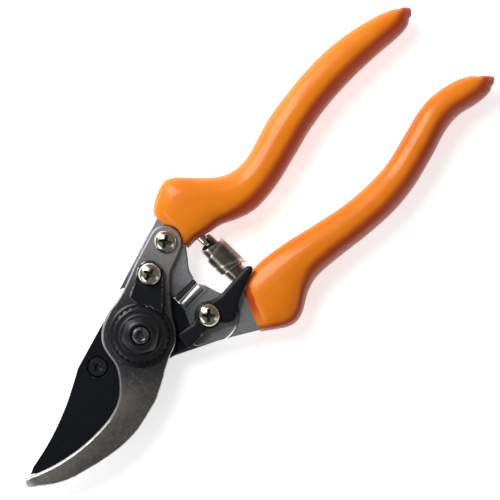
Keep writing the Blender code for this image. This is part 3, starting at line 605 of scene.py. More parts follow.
def forged_steel():
    """Drop-forged steel, shot-blasted and lightly polished: fine pits, satin, brighter edges."""
    f = Finish("satin_forged_steel", metallic=1.0)
    skin_grain = f.noise(1500, 4, 0.65)
    pits = f.cells(1100).step(0.30, 0.10)
    cloud = f.noise(130, 4, 0.6)
    mottle = f.noise(600, 5, 0.7)
    brushed = f.noise(700, 3, 0.6, stretch=(4.5, 0.35, 1), turn=-26)
    worn = f.mark() * f.noise(420, 4).step(0.30, 0.62)
    out = f.from_pivot()
    tone = cloud * 0.3 + brushed * 0.3 + mottle * 0.4
    colour = f.mix(tone, (0.15, 0.155, 0.165), (0.60, 0.605, 0.615))
    colour = f.mix(out.step(0.031, 0.019) * 0.74, colour, (0.055, 0.058, 0.064))
    colour = f.mix(pits * 0.5, colour, (0.09, 0.092, 0.10))
    colour = f.mix(worn * 0.45, colour, (0.62, 0.62, 0.62))
    rough = 0.37 + skin_grain * 0.16 + pits * 0.12 - worn * 0.05
    return f.set(colour, rough, bumps=[
        (cloud, 0.0003, 0.18), (mottle, 0.00012, 0.25), (skin_grain, 0.00008, 0.30),
        (pits, 0.00004, 0.4)])


def ground_steel():
    """The hook's flat: ground steel with fine grinding lines and a little staining."""
    f = Finish("ground_hook_steel", metallic=1.0)
    lines = f.noise(1100, 4, 0.7, stretch=(0.22, 3.4, 1), turn=14)
    fine = f.noise(3600, 3, 0.7, stretch=(0.3, 3.0, 1), turn=14)
    mottle = f.noise(520, 5, 0.72)
    stain = f.noise(130, 5, 0.62, warp=0.6).step(0.42, 0.66)
    flecks = f.noise(900, 4, 0.75).step(0.585, 0.66)
    scratch = f.noise(420, 3, 0.5, stretch=(0.25, 2.6, 1), turn=52).step(0.64, 0.70)
    out = f.from_pivot()
    near_pivot = out.step(0.030, 0.0175)
    painted_shade_back_side = f.across("X").step(-0.009, -0.019)
    towards_tip = f.across("Y").step(0.022, 0.060)
    painted_tip_highlight = f.across("Y").step(0.0620, 0.0646)
    by_the_screws = f.across("Y").step(-0.014, -0.026)
    worn = f.mark() * f.noise(500, 3).step(0.25, 0.6)
    colour = f.mix(mottle * 0.7 + lines * 0.3, (0.105, 0.097, 0.090), (0.43, 0.41, 0.39))
    colour = f.mix(towards_tip * 0.35, colour, (0.38, 0.365, 0.35))
    colour = f.mix(stain * 0.45, colour, (0.135, 0.112, 0.095))
    colour = f.mix(by_the_screws * 0.45, colour, (0.44, 0.445, 0.45))
    # painted shade: the hook darker towards its side at -X, away from the key light
    colour = f.mix(painted_shade_back_side * 0.62, colour, (0.085, 0.076, 0.066))
    colour = f.mix(near_pivot * 0.86, colour, (0.030, 0.034, 0.041))
    colour = f.mix(flecks * 0.26, colour, (0.55, 0.53, 0.50))
    # a few bright scratches, and a painted highlight on the very tip of the hook
    colour = f.mix((scratch * 0.04).most(painted_tip_highlight * 0.8), colour, (0.80, 0.79, 0.77))
    colour = f.mix(worn * 0.7, colour, (0.72, 0.715, 0.70))
    rough = 0.34 + mottle * 0.20 + stain * 0.10 - worn * 0.10
    return f.set(colour, rough, bumps=[
        (mottle, 0.00012, 0.30), (lines, 0.00005, 0.30), (fine, 0.00002, 0.4)])


def bright_bevel():
    """Freshly ground steel on a cutting bevel, with its grinding lines across the edge."""
    f = Finish("bright_ground_bevel", metallic=1.0)
    lines = f.noise(2200, 3, 0.7, stretch=(0.3, 3.2, 1), turn=14)
    nicks = f.noise(420, 4, 0.6).step(0.62, 0.74)
    by_the_tip = f.across("Y").step(0.030, 0.060)
    colour = f.mix(lines, (0.33, 0.33, 0.335), (0.48, 0.48, 0.49))
    colour = f.mix(by_the_tip * 0.45, colour, (0.62, 0.63, 0.65))
    colour = f.mix(nicks * 0.6, colour, (0.28, 0.27, 0.26))
    return f.set(colour, 0.30 + lines * 0.16 + nicks * 0.2, bumps=[(lines, 0.00004, 0.35)])


def black_coating(name="baked_black_coating", speckle=1.0, gloss=0.0, relief=1.0, shine=0.16,
                  wear=1.0):
    """Baked low-friction coating: near black, finely speckled, thin on its edges."""
    f = Finish(name, IOR=1.45, Specular_IOR_Level=shine, Coat_Roughness=0.2)
    grain = f.noise(2400, 4, 0.7)
    speck = f.cells(1500).step(0.26, 0.08)
    cloud = f.noise(110, 4, 0.6)
    rub = f.noise(330, 5, 0.7, stretch=(0.4, 2.0, 1), turn=18).step(0.60, 0.74)
    thin = f.mark() * f.noise(460, 5, 0.65).step(0.66 - 0.16 * wear, 0.66)
    colour = f.mix(cloud, (0.0022, 0.0028, 0.0044), (0.0052, 0.0062, 0.0090))
    colour = f.mix(speck * 0.3 * speckle, colour, (0.018, 0.020, 0.024))
    colour = f.mix(rub * 0.25 * wear, colour, (0.05, 0.05, 0.053))
    colour = f.mix(thin * 0.8 * wear, colour, (0.30, 0.30, 0.31))
    rough = 0.44 - gloss + grain * 0.16 + rub * 0.10 * wear
    return f.set(colour, rough, metallic=thin * 0.9 * wear, bumps=[
        (cloud, 0.0002, 0.12 * relief), (grain, 0.00005, 0.42 * relief),
        (speck, 0.00003, 0.35 * relief)])


def bright_zinc():
    """Bright zinc with a faint yellow passivate, streaked by the driver and the dip, with painted shade in
    the cross recess.
    """
    f = Finish("yellowed_bright_zinc", metallic=1.0)
    cloud = f.noise(420, 4, 0.6)
    streak = f.noise(1500, 3, 0.6, stretch=(1.0, 0.3, 1))
    spots = f.noise(1300, 3, 0.6).step(0.60, 0.70)
    recess = f.mark("recess")
    colour = f.mix(cloud, (0.60, 0.56, 0.46), (0.78, 0.75, 0.65))
    colour = f.mix(spots * 0.3, colour, (0.36, 0.32, 0.25))
    # painted shade: the faces inside the cross recess nearly black and rougher
    colour = f.mix(recess * 0.93, colour, (0.030, 0.028, 0.024))
    return f.set(colour, 0.16 + streak * 0.08 + spots * 0.15 + recess * 0.4, bumps=[
        (cloud, 0.00005, 0.06), (streak, 0.00002, 0.15)])


def spring_steel():
    """Rolled spring strip, nickelled dark, with draw lines along it and painted highlights along its edges.
    """
    f = Finish("dark_nickelled_strip", metallic=1.0)
    along = f.noise(1900, 3, 0.6, stretch=(3.2, 0.35, 0.35))
    cloud = f.noise(240, 4, 0.6)
    heat = f.noise(150, 3).step(0.42, 0.66)
    edge = f.mark("edge")
    bands = f.noise(420, 3, 0.6, stretch=(0.2, 1.6, 1.6))
    colour = f.mix(bands * 0.6 + cloud * 0.4, (0.060, 0.050, 0.039), (0.40, 0.365, 0.315))
    colour = f.mix(heat * 0.35, colour, (0.22, 0.15, 0.10))
    # painted highlight: a bright line along each edge of the strip
    colour = f.mix(edge * 0.8, colour, (0.86, 0.83, 0.77))
    return f.set(colour, 0.27 + along * 0.12 - edge * 0.06, bumps=[
        (along, 0.00005, 0.35), (cloud, 0.0001, 0.12)])


def black_rubber():
    f = Finish("black_buffer_rubber", IOR=1.5)
    grain = f.noise(2600, 4, 0.7)
    bloom = f.noise(300, 4).step(0.45, 0.7)
    colour = f.mix(bloom * 0.6, (0.011, 0.011, 0.012), (0.034, 0.033, 0.032))
    return f.set(colour, 0.62 + grain * 0.2, bumps=[(grain, 0.00008, 0.5)])


VINYL = orange_vinyl()
FORGED = forged_steel()
GROUND = ground_steel()
BEVEL = bright_bevel()
BLACK = black_coating()
BLACK_NUT = black_coating("black_oxide_nut", speckle=0.3, gloss=0.13, relief=0.05, shine=0.55,
                          wear=0.06)
BLACK_BOLT = black_coating("rubbed_black_bolt", speckle=0.3, gloss=0.12, relief=0.2, shine=0.9,
                           wear=1.6)
BLACK_SEGMENT = black_coating("rubbed_black_segment", speckle=0.6, gloss=0.06, relief=0.3,
                              shine=0.25, wear=1.5)
BLACK_CATCH = black_coating("black_catch", speckle=0.5, gloss=0.08, relief=0.3, shine=0.30,
                            wear=0.5)
ZINC = bright_zinc()
STRIP = spring_steel()
RUBBER = black_rubber()


# ---- grips


def grip_section(outer, inner, half, power=GRIP_POWER, sides=72):
    """One ring round a grip: an oval at power 2, squarer as the power rises."""
    middle, reach = (outer + inner) / 2, (inner - outer) / 2
    ring = []
    for i in range(sides):
        t = 2 * math.pi * (i + 0.5) / sides
        across, up = (math.copysign(abs(s) ** (2 / power), s)
                      for s in (math.cos(t), math.sin(t)))
        p = middle + reach * across
        ring.append((p.x, p.y, MIDDLE + half * up))
    return ring


def grip_places(stations, collar_y, length):
    """A grip's outer edge, inner edge and half thickness, all the way down."""
    return [
        (Vector((x_out, collar_y - share_out * length)),
         Vector((x_in, collar_y - share_in * length)), half)
        for share_out, x_out, share_in, x_in, half in smooth(stations, 7)
    ]


def dipped_grip(name, places):
    """A dipped grip: a soft oval that follows the hand, a rolled lip and a rounded end."""
    outer, inner, half = places[0]
    across = (inner - outer).normalized()
    up = Vector((across.y, -across.x))
    if up.y < 0:
        up = -up
    # (rise, wall) of the throat, then of the lip that rolls over the collar
    mouth = [(-6.0, 1.7), (-2.5, 1.15), (-0.5, 0.85)]
    lip = 0.42
    for k in range(9):
        a = math.pi * k / 8
        mouth.append((lip * math.sin(a) - lip, lip - lip * math.cos(math.pi - a)))
    rings = [
        grip_section(outer + across * wall + up * rise, inner - across * wall + up * rise,
                     half - wall, SHOULDER_POWER)
        for rise, wall in mouth
    ]
    for k, (outer, inner, half) in enumerate(places[1:], 1):
        crease = 0.34 * math.exp(-((k - CREASE_AT) / 1.5) ** 2)
        draw = (inner - outer).normalized() * crease
        power = GRIP_POWER + (SHOULDER_POWER - GRIP_POWER) * math.exp(-(k / 24) ** 2)
        rings.append(grip_section(outer + draw, inner - draw, half - crease, power))
    middle = (outer + inner) / 2
    for share in (0.72, 0.40, 0.12):
        push = Vector((0.0, -0.25)) * (1 - share * share)
        ends = (middle + (tip - middle) * share + push for tip in (outer, inner))
        rings.append(grip_section(*ends, half * share))
    obj = skin(name, rings, ends=False)
    work = opened(obj.data)
    bmesh.ops.holes_fill(work, edges=[e for e in work.edges if e.is_boundary])
    closed(work, obj.data)
    return obj


def painted_shade_run(obj, places):
    """How far each point of a grip lies into the band of painted shade along its edge at -X, 0 to 1."""
    ends = np.array([sorted(place[:2], key=lambda end: end.x) for place in places]) * MM
    start, across = ends[:, 0], ends[:, 1] - ends[:, 0]
    width = np.linalg.norm(across, axis=1)
    points = np.array([vertex.co[:2] for vertex in obj.data.vertices])
    away = points[:, None, :] - start[None, :, :]
    share = np.clip((away * across).sum(axis=2) / width ** 2, 0.0, 1.0)
    nearest = np.linalg.norm(away - share[..., None] * across, axis=2).argmin(axis=1)
    inside = (share * width)[np.arange(len(points)), nearest]
    band = (3.0 + 3.6 * np.clip(nearest / 34, 0.0, 1.0) ** 2) * MM
    return np.clip(1.0 - inside / band, 0.0, 1.0).tolist()


def grips():
    for name, body, node, *plan in (
        ("hook_grip_dip", "hook_half", "hook_grip", HOOK_GRIP, HOOK_COLLAR_Y, HOOK_GRIP_LEN),
        ("blade_grip_dip", "blade_half", "blade_grip", BLADE_GRIP, BLADE_COLLAR_Y,
         BLADE_GRIP_LEN),
    ):
        places = grip_places(*plan)
        obj = dipped_grip(name, places)
        on_hook_side = node == "hook_grip"
        if on_hook_side:
            shaped(obj, "DIFFERENCE", bore(HOOK_SCREW, GRIP_NOTCH_R, ARM_TOP, 30, 96))
        soften(obj, 50)
        # painted shade: the grip is painted deepest in colour along its edge at -X, away from the key light,
        # and painted shadow of the catch darkens the mouth of the blade's grip
        painted_shade_and_bounce = obj.data.attributes.new("painted_shade_and_bounce", "FLOAT", "POINT")
        for vertex, value, run in zip(obj.data.vertices, painted_shade_and_bounce.data, painted_shade_run(obj, places)):
            mouth = 0.0 if on_hook_side else 0.40 * unit(2.2 * vertex.normal.y)
            mouth *= unit((vertex.co.x / MM + 29.0) / 8.0)
            value.value = max(run, mouth * (vertex.normal.z < 0.85))
        dress(obj, VINYL, body, [node])


# ---- arms


def hook_arm():
    hollow = arc(PIVOT, ARM_ARC_R, -89.0, -19.5)
    inner = smooth([(6.4, -30.2), (3.6, -27.9), (0.2, -26.7)], 8)
    tang = [(24.2, -32.6), (25.4, -37.5), (10.4, -38.5), (9.8, -32.8)]
    arm = slab("hook_arm_forging", rounded([*hollow, *tang, *inner], 1.0), ARM_LOW, ARM_TOP,
               ARM_EDGE, ARM_EDGE, 5)
    shaped(arm, "DIFFERENCE", *drills(
        ARM_LOW, ARM_TOP, (HOOK_SCREW, ARM_HOLE_R), (SEGMENT_SCREW, ARM_HOLE_R)))
    dress(crisp(arm), FORGED, "hook_half", ["hook_arm"])


def blade_arm():
    shoulder = [(-16.8, -10.3), *arc(PIVOT, BOSS_R + 0.3, 215, 254), (-2.6, -17.0)]
    inner = [(-2.6, -26.4), (-4.2, -27.6), (-9.8, -29.3)]
    by_the_catch = smooth([(-11.4, -30.6), (-12.4, -32.2), (-13.3, -34.2)], 5)
    tang = [(-14.2, -35.2), (-15.8, -38.6), (-30.6, -32.4), (-28.6, -29.4)]
    plan = rounded([*shoulder, *inner, *by_the_catch, *tang], 0.9)
    arm = slab("blade_arm_forging", plan, ARM_LOW, ARM_TOP, ARM_EDGE, ARM_EDGE, 5)
    pad = turned("spot_face", above(
        ARM_TOP, (0, -0.5), (10.1, -0.5), (10.6, -0.38), (10.95, 0.1), (10.95, 1), (0, 1)),
        CATCH_PIVOT, 128)
    keep = slab("keep_bead", [(-5.7, -40), (8, -40), (8, -10), (-5.7, -10)],
                ARM_TOP - 2, ARM_TOP + 2, 0.0, 0.0, 1)
    shaped(pad, "DIFFERENCE", keep)
    shaped(arm, "DIFFERENCE", pad)
    boss = arc(PIVOT, BOSS_R, -68, -99)
    root = [(-3.4, -20.0), (-14.0, -20.0), (-22.0, -18.6)]
    outer = [(-13.9, -2.8), (-12.2, 3.0), (-9.0, 10.0), (-5.0, 18.0)]
    nose = arc(BLADE_SCREW, 5.2, 150, 20)
    eye_side = [(11.2, 7.0), (12.0, 2.0), (12.1, -4.0), (9.2, -10.8)]
    lap = slab("lap", rounded([*boss, *root, *outer, *nose, *eye_side], 1.4), ARM_LOW, LAP_TOP,
               0.3, 0.7, 4)
    shaped(arm, "UNION", lap)
    shaped(arm, "UNION", bar_along_y("bead", -3.5, 1.7, ARM_TOP + 1.0 - 1.7, -17.25, -26.35))
    shaped(arm, "DIFFERENCE", *drills(ARM_LOW, ARM_TOP + 1, (PIVOT, PIVOT_HOLE_R),
                                      (BLADE_SCREW, ARM_HOLE_R), (CATCH_PIVOT, ARM_HOLE_R)))
    dress(crisp(arm), FORGED, "blade_half", ["blade_arm"])


def bar_along_y(name, x, radius, z, start, end, sides=48):
    """A round bar along Y with rounded ends."""
    rings = []
    soft = 0.45
    length = abs(end - start)
    for at, shrink in ((0, soft), (soft * 0.3, soft * 0.28), (soft, 0), (length - soft, 0),
                       (length - soft * 0.3, soft * 0.28), (length, soft)):
        y = start + math.copysign(at, end - start)
        rings.append([
            (x + (radius - shrink) * math.cos(2 * math.pi * i / sides), y,
             z + (radius - shrink) * math.sin(2 * math.pi * i / sides))
            for i in range(sides)
        ])
    return skin(name, rings)


def buffer():
    plan = rounded([(-1.68, -26.4), (0.1, -26.4), (0.1, -17.1), (-1.68, -17.1)], 0.4)
    strip = slab("rubber_stop", plan, ARM_LOW + 0.3, ARM_TOP - 0.3, 0.35, 0.35, 4)
    dress(crisp(strip), RUBBER, "hook_half", ["rubber_buffer"])


# ---- blades


def hook_outline():
    """The hook plate in plan: its round end, back, eye, mouth, tip, belly and root."""
    far_end = arc(HOOK_SCREW, 5.6, 193, 378)
    back = smooth([(18.3, -16.0), (15.3, -7.8), (14.1, -3.0), (13.6, 1.2)])
    eye = smooth([(13.6, 1.2), (12.4, 5.2), (10.4, 8.6), (7.6, 11.3), (4.0, 12.7), (0.0, JAW_Y)])
    mouth = jaw_curve([
        (0.0, 0.0), (0.02, -2.7), (0.07, -6.2), (0.13, -9.2), (0.20, -11.2), (0.30, -12.5),
        (0.42, -12.8), (0.54, -12.5), (0.66, -11.5), (0.78, -9.9), (0.90, -7.5), (0.935, -6.6),
    ])
    tip = jaw_curve([(0.935, -6.6), (0.965, -6.3), (0.990, -7.0), (0.998, -8.7), (0.985, -9.7),
                     (0.95, -11.0)], 6)
    belly = jaw_curve([
        (0.95, -11.0), (0.87, -14.3), (0.76, -17.3), (0.62, -19.6), (0.48, -21.4),
        (0.34, -22.4), (0.20, -22.2), (0.07, -20.8), (0.0, -20.0),
    ])
    root = smooth([(-20.0, JAW_Y), (-17.4, 7.6), (-15.0, 3.4), (-13.6, 0.6), (-12.7, -1.2)])
    rim = arc(PIVOT, RIM_R, 194, 232)
    side = smooth([(-2.6, -12.9), (3.0, -17.7), (7.5, -22.3), (8.9, -25.8)])
    return rounded([*far_end, *back, *eye[1:], *mouth[1:], *tip[1:], *belly[1:], *root[1:], *rim,
                    *side], 1.6, 22.0)


def ground_width(point):
    """How wide the top's ground bevel is at a point on the hook's outline."""
    x, y = point
    if x > 13.2 and y < 2:
        return 0.55
    if JAW_Y - 6 < y < TIP_Y - 1.2 and x > -12.95:
        return 0.72
    return 0.85 if y > -2 and x > 0 else 0.32


def hook_blade():
    outline = tidy(hook_outline())
    widths = np.array([ground_width(p) for p in outline])
    for _ in range(8):
        widths = (np.roll(widths, 1) + 2 * widths + np.roll(widths, -1)) / 4
    widths = room(outline, widths)
    deep = 0.75
    plate = skin("hook_plate", [
        at_level(inset(outline, 0.2), HOOK_LOW),
        at_level(outline, HOOK_LOW + 0.25),
        at_level(outline, HOOK_TOP - deep),
        at_level(inset(outline, widths * 0.42), HOOK_TOP - deep * 0.45),
        at_level(inset(outline, widths * 0.92), HOOK_TOP - deep * 0.06),
        at_level(inset(outline, widths), HOOK_TOP),
    ])
    shaped(plate, "DIFFERENCE", *drills(
        HOOK_LOW, HOOK_TOP, (PIVOT, PIVOT_HOLE_R), (HOOK_SCREW, PLATE_HOLE_R),
        (SEGMENT_SCREW, PLATE_HOLE_R)))
    crisp(plate)

    def pick(face):
        x, y, z = (c / MM for c in face.center)
        bevel = 0.15 < face.normal.z < 0.985 and z > HOOK_TOP - 1.0
        return int(bevel and ground_width((x, y)) > 0.5)

    dress(plate, [GROUND, BEVEL], "hook_half", ["hook_blade"], pick)


def cutting_blade():
    edge = jaw_curve([
        (-0.04, -12.4), (0.06, -14.0), (0.16, -15.2), (0.30, -15.9), (0.44, -15.6),
        (0.58, -14.4), (0.72, -12.3), (0.83, -9.9), (0.93, -6.4),
    ])
    back = jaw_curve([(0.88, -5.3), (0.74, -3.9), (0.60, -1.9), (0.43, 1.4), (0.28, 5.2),
                      (0.20, 7.4)], 6)
    eye_side = smooth([(11.9, 7.4), (12.6, 3.0), (12.7, -4.0), (9.5, -11.0)])
    boss = arc(PIVOT, BOSS_R, -68, -152)
    heel = smooth([(-13.2, -3.2), (-12.6, 3.0), (-12.4, 9.0)])
    outline = [*edge, *back, *eye_side, *boss, *heel]
    outline = [p for i, p in enumerate(outline) if math.dist(p, outline[i - 1]) > 0.03]
    shares = [i / (len(edge) - 1) for i in range(len(outline))]
    grind = [4.4 * math.sin(math.pi * s) ** 0.5 if 0 < s < 1 else 0.0 for s in shares]
    if area(outline) < 0:
        outline, grind = outline[::-1], grind[::-1]
    blade = skin("black_cutting_blade", [
        at_level(inset(outline, room(outline, np.maximum(grind, 0.3))), BLADE_LOW),
        at_level(outline, BLADE_TOP - 0.42),
        at_level(outline, BLADE_TOP - 0.18),
        at_level(inset(outline, room(outline, 0.18)), BLADE_TOP),
    ])
    head_seat = bore(BLADE_SCREW, BLADE_SCREW_SEAT_R, BLADE_TOP - 1.9, BLADE_TOP + 1, 96, 0.25,
                     BLADE_TOP)
    shaped(blade, "DIFFERENCE", *drills(
        BLADE_LOW, BLADE_TOP, (PIVOT, PIVOT_HOLE_R), (BLADE_SCREW, PLATE_HOLE_R)), head_seat)
    crisp(blade)

    def pick(face):
        return int(-0.97 < face.normal.z < -0.05 and face.center.z / MM < BLADE_TOP - 0.3)

    dress(blade, [BLACK, BEVEL], "blade_half", ["cutting_blade"], pick)


# ---- geometry node trees


class Tree(Nodes):
    """A Geometry Nodes tree with named inputs."""

    def __init__(self, name, inputs):
        self.tree = bpy.data.node_groups.new(name, "GeometryNodeTree")
        sockets = self.tree.interface
        self.ids = {
            label: sockets.new_socket(
                label, in_out="INPUT", socket_type="NodeSocket" + kind).identifier
            for label, kind in inputs.items()
        }
        sockets.new_socket("Geometry", in_out="OUTPUT", socket_type="NodeSocketGeometry")
        outputs = self.tree.nodes.new("NodeGroupInput").outputs
        self.given = {label: Wire(self, outputs[label]) for label in inputs}

    def end(self, geometry):
        """Realize Instances and Set Material, then the output."""
        real = self.add("GeometryNodeRealizeInstances", {}, {"Geometry": geometry})
        done = self.add("GeometryNodeSetMaterial", {}, {
            "Geometry": real, "Material": self.given["Material"]})
        self.tree.links.new(done.socket, self.tree.nodes.new("NodeGroupOutput").inputs[0])
        return self

    def run(self, obj, values):
        """Runs the tree on an object with these inputs, and leaves a plain mesh."""
        step = obj.modifiers.new(self.tree.name, "NODES")
        step.node_group = self.tree
        for label, value in values.items():
            step[self.ids[label]] = value
        return apply_modifiers(obj)


def set_on_points_tree():
    """Copies of one fastener, one on each point, each turned by the point's own angle."""
    tree = Tree("fasteners_on_points", {
        "Geometry": "Geometry", "Fastener": "Object", "Material": "Material"})
    shape = tree.add("GeometryNodeObjectInfo", {"transform_space": "ORIGINAL"}, {
        "Object": tree.given["Fastener"]}, "Geometry")
    turn = tree.add("GeometryNodeInputNamedAttribute", {"data_type": "FLOAT"}, {"Name": "turn"})
    rotation = tree.add("FunctionNodeEulerToRotation", {}, {
        0: tree.add("CombineXYZ", {}, {"Z": turn})})
    return tree.end(tree.add("GeometryNodeInstanceOnPoints", {}, {
        "Points": tree.given["Geometry"], "Instance": shape, "Rotation": rotation}))


def toothed_ring_tree():
    """A toothed flange: a disc whose rim rises and falls evenly, made as thick as it has to be."""
    tree = Tree("toothed_flange", {
        "Teeth": "Int", "Points Per Tooth": "Int", "Root Radius": "Float", "Tip Radius": "Float",
        "First Tooth": "Float", "Level": "Float", "Thickness": "Float", "Material": "Material"})
    given = tree.given
    root = given["Root Radius"]
    count = given["Teeth"] * given["Points Per Tooth"]
    ring = tree.add("GeometryNodeMeshCircle", {"fill_type": "NGON"}, {
        "Vertices": count, "Radius": root})
    round_it = tree.add("GeometryNodeInputIndex") / count * (2 * math.pi)
    angle = round_it + given["First Tooth"]
    wave = (round_it * given["Teeth"]).maths("COSINE")
    share = tree.add("Clamp", {}, {"Value": wave * 2.2 * 0.5 + 0.5})
    radius = root + share * (given["Tip Radius"] - root)
    place = tree.add("CombineXYZ", {}, {
        "X": radius * angle.maths("COSINE"), "Y": radius * angle.maths("SINE"),
        "Z": given["Level"]})
    rim = tree.add("GeometryNodeSetPosition", {}, {"Geometry": ring, "Position": place})
    raised = tree.add("GeometryNodeExtrudeMesh", {"mode": "FACES"}, {
        "Mesh": rim, "Offset": tree.add("CombineXYZ", {}, {"Z": 1.0}),
        "Offset Scale": given["Thickness"], "Individual": False})
    under = tree.add("GeometryNodeFlipFaces", {}, {"Mesh": rim})
    both = tree.add("GeometryNodeJoinGeometry", {}, {0: raised})
    tree.tree.links.new(under.socket, both.socket.node.inputs[0])
    return tree.end(tree.add("GeometryNodeMergeByDistance", {}, {
        "Geometry": both, "Distance": 1e-6}))


def volute_tree():
    """A double volute: a strip wound on itself, wide at its middle and waisted half a turn on,
    then each turn further out along X and further in."""
    lengths = ("Turns Left", "Turns Right", "Radius", "Pitch In", "Step Along", "Half Width",
               "Waist", "Middle X", "Axis Y", "Axis Z", "Start Angle")
    tree = Tree("double_volute", {
        "Steps Per Turn": "Int", **dict.fromkeys(lengths, "Float"), "Material": "Material"})
    given = tree.given
    half = given["Half Width"]
    whole = given["Turns Left"] + given["Turns Right"]
    columns = (whole * given["Steps Per Turn"]).maths("ROUND") + 1
    grid = tree.add("GeometryNodeMeshGrid", {}, {
        "Size X": 1.0, "Size Y": 1.0, "Vertices X": columns, "Vertices Y": 7})
    where = tree.add("GeometryNodeInputPosition")
    u, v = (tree.add("SeparateXYZ", {}, {0: where}, axis) for axis in "XY")
    turn = (u + 0.5) * whole - given["Turns Left"]
    reach = turn.maths("ABSOLUTE")
    side = turn.maths("GREATER_THAN", -1e-6) * 2.0 - 1.0
    radius = given["Radius"] - reach * given["Pitch In"]
    # the strip crosses the middle for under half a turn; past that it stays on its own side
    near = (reach / 0.45).least(1.0)
    inner = (near - 1.0) * half + near * 0.0002
    narrowing = (reach / 0.5).least(1.0) * (half - given["Waist"])
    outer = half - narrowing + (reach - 0.5).most(0.0) * given["Step Along"]
    x = side * (inner + (outer - inner) * (side * v + 0.5))
    angle = turn * (2 * math.pi) + given["Start Angle"]
    place = tree.add("CombineXYZ", {}, {
        "X": given["Middle X"] + x, "Y": given["Axis Y"] + radius * angle.maths("SINE"),
        "Z": given["Axis Z"] + radius * angle.maths("COSINE")})
    strip = grid
    for name, value in (("turn", turn),
                        ("edge", v.maths("ABSOLUTE").maths("GREATER_THAN", 0.45))):
        strip = tree.add("GeometryNodeStoreNamedAttribute", {
            "data_type": "FLOAT", "domain": "POINT"}, {
            "Geometry": strip, "Name": name, "Value": value})
    return tree.end(tree.add("GeometryNodeSetPosition", {}, {
        "Geometry": strip, "Position": place}))


# ---- fasteners


def pan_screw_shape():
    """A pan head with a driven cross recess, its underside at z 0, and a short neck below."""
    top, r = 2.4, 3.9
    dome = above(top, (0, 0), (0.9, -0.03), (1.7, -0.14), (2.5, -0.36), (3.1, -0.68),
                 (3.55, -1.08), (3.82, -1.5), (r, -1.85))
    head = turned("pan_head", [
        *dome, (r, 0.25), (r - 0.25, 0.0), (2.0, 0.0), (2.0, -2.0), (0, -2.0)])
    shaped(head, "DIFFERENCE", *cross_tools(top, 4.9, 1.15, 1.6))
    mark_recess_for_shade(head, dome)
    return crisp(head, 40)


def mark_recess_for_shade(head, dome):
    """Marks the faces of a screw's head that lie inside its recess, where painted shade goes."""
    radii, levels = zip(*dome)
    deep = head.data.attributes.new("recess", "FLOAT", "FACE")
    for face, value in zip(head.data.polygons, deep.data):
        x, y, z = (c / MM for c in face.center)
        r = math.hypot(x, y)
        value.value = float(r < 3.0 and 0.2 < z < np.interp(r, radii, levels) - 0.14)


def cross_tools(top, length, width, depth):
    """Two tapered wings and a centre cone for a cross recess."""
    tools = []
    for degrees in (0, 90):
        rings = []
        for z, long_share, wide_share in (
            (top - depth, 0.30, 0.45), (top - depth * 0.75, 0.52, 0.62),
            (top - depth * 0.25, 0.92, 0.9), (top + 0.6, 1.05, 1.05),
        ):
            half, wide = length / 2 * long_share, width / 2 * wide_share
            corners = ((-half, -wide), (half, -wide), (half, wide), (-half, wide))
            c, sn = math.cos(math.radians(degrees)), math.sin(math.radians(degrees))
            rings.append([(x * c - y * sn, x * sn + y * c, z) for x, y in corners])
        tools.append(skin("wing", rings))
    tools.append(turned("cone", [
        (0, top + 0.55), (1.25, top + 0.55), (1.0, top - 0.2), (0.45, top - depth - 0.1),
        (0, top - depth - 0.3)], sides=24))
    return tools


def screws():
    shape = pan_screw_shape()
    tree = set_on_points_tree()
    jobs = (
        ("hook_side_screws", "hook_half", ["hook_blade_screw", "segment_screw"],
         [(*HOOK_SCREW, HOOK_TOP + 0.3, 30.0), (*SEGMENT_SCREW, FLANGE_TOP + 0.3, 12.0)]),
        ("catch_pivot_screw", "blade_half", ["catch_screw"],
         [(*CATCH_PIVOT, CATCH_TOP + 0.6, 42.0)]),
    )
    for name, body, nodes, places in jobs:
        mesh = bpy.data.meshes.new(name)
        mesh.from_pydata([(x * MM, y * MM, z * MM) for x, y, z, _ in places], [], [])
        angles = mesh.attributes.new("turn", "FLOAT", "POINT")
        for value, (*_, degrees) in zip(angles.data, places):
            value.value = math.radians(degrees)
        obj = new_object(name, mesh)
        tree.run(obj, {"Fastener": shape, "Material": ZINC})
        dress(obj, ZINC, body, nodes)
    bpy.data.objects.remove(shape)


def blade_screw():
    top, foot = BLADE_TOP - 0.3, ARM_LOW + 0.3
    head = turned("flush_blade_screw", [
        *above(top, (0, 0), (3.05, 0), (3.45, -0.35), (3.45, -1.3), (1.95, -1.3)),
        (1.95, foot), (0, foot)], BLADE_SCREW, 80)
    tools = cross_tools(top, 3.9, 0.9, 1.0)
    for tool in tools:
        tool.data.transform(Matrix.Translation((BLADE_SCREW[0] * MM, BLADE_SCREW[1] * MM, 0))
                            @ Matrix.Rotation(math.radians(8), 4, "Z"))
    shaped(head, "DIFFERENCE", *tools)
    dress(crisp(head, 40), BLACK_NUT, "blade_half", ["blade_screw"])


# ---- pivot


def hexagon(name, half_across, corner, *rest):
    plan = circle(PIVOT, half_across / math.cos(math.radians(30)), 6)
    return slab(name, rounded(plan, corner), *rest)


def thrust_disc():
    disc = turned("black_thrust_disc", [
        *above(DISC_TOP, (PIVOT_HOLE_R, 0), (10.55, 0), (10.95, -0.10), (11.22, -0.32),
               (11.3, -0.6)),
        *above(DISC_LOW, (11.3, 0.1), (11.2, 0), (PIVOT_HOLE_R, 0))])
    dress(crisp(disc), BLACK_NUT, "hook_half", ["thrust_washer"])


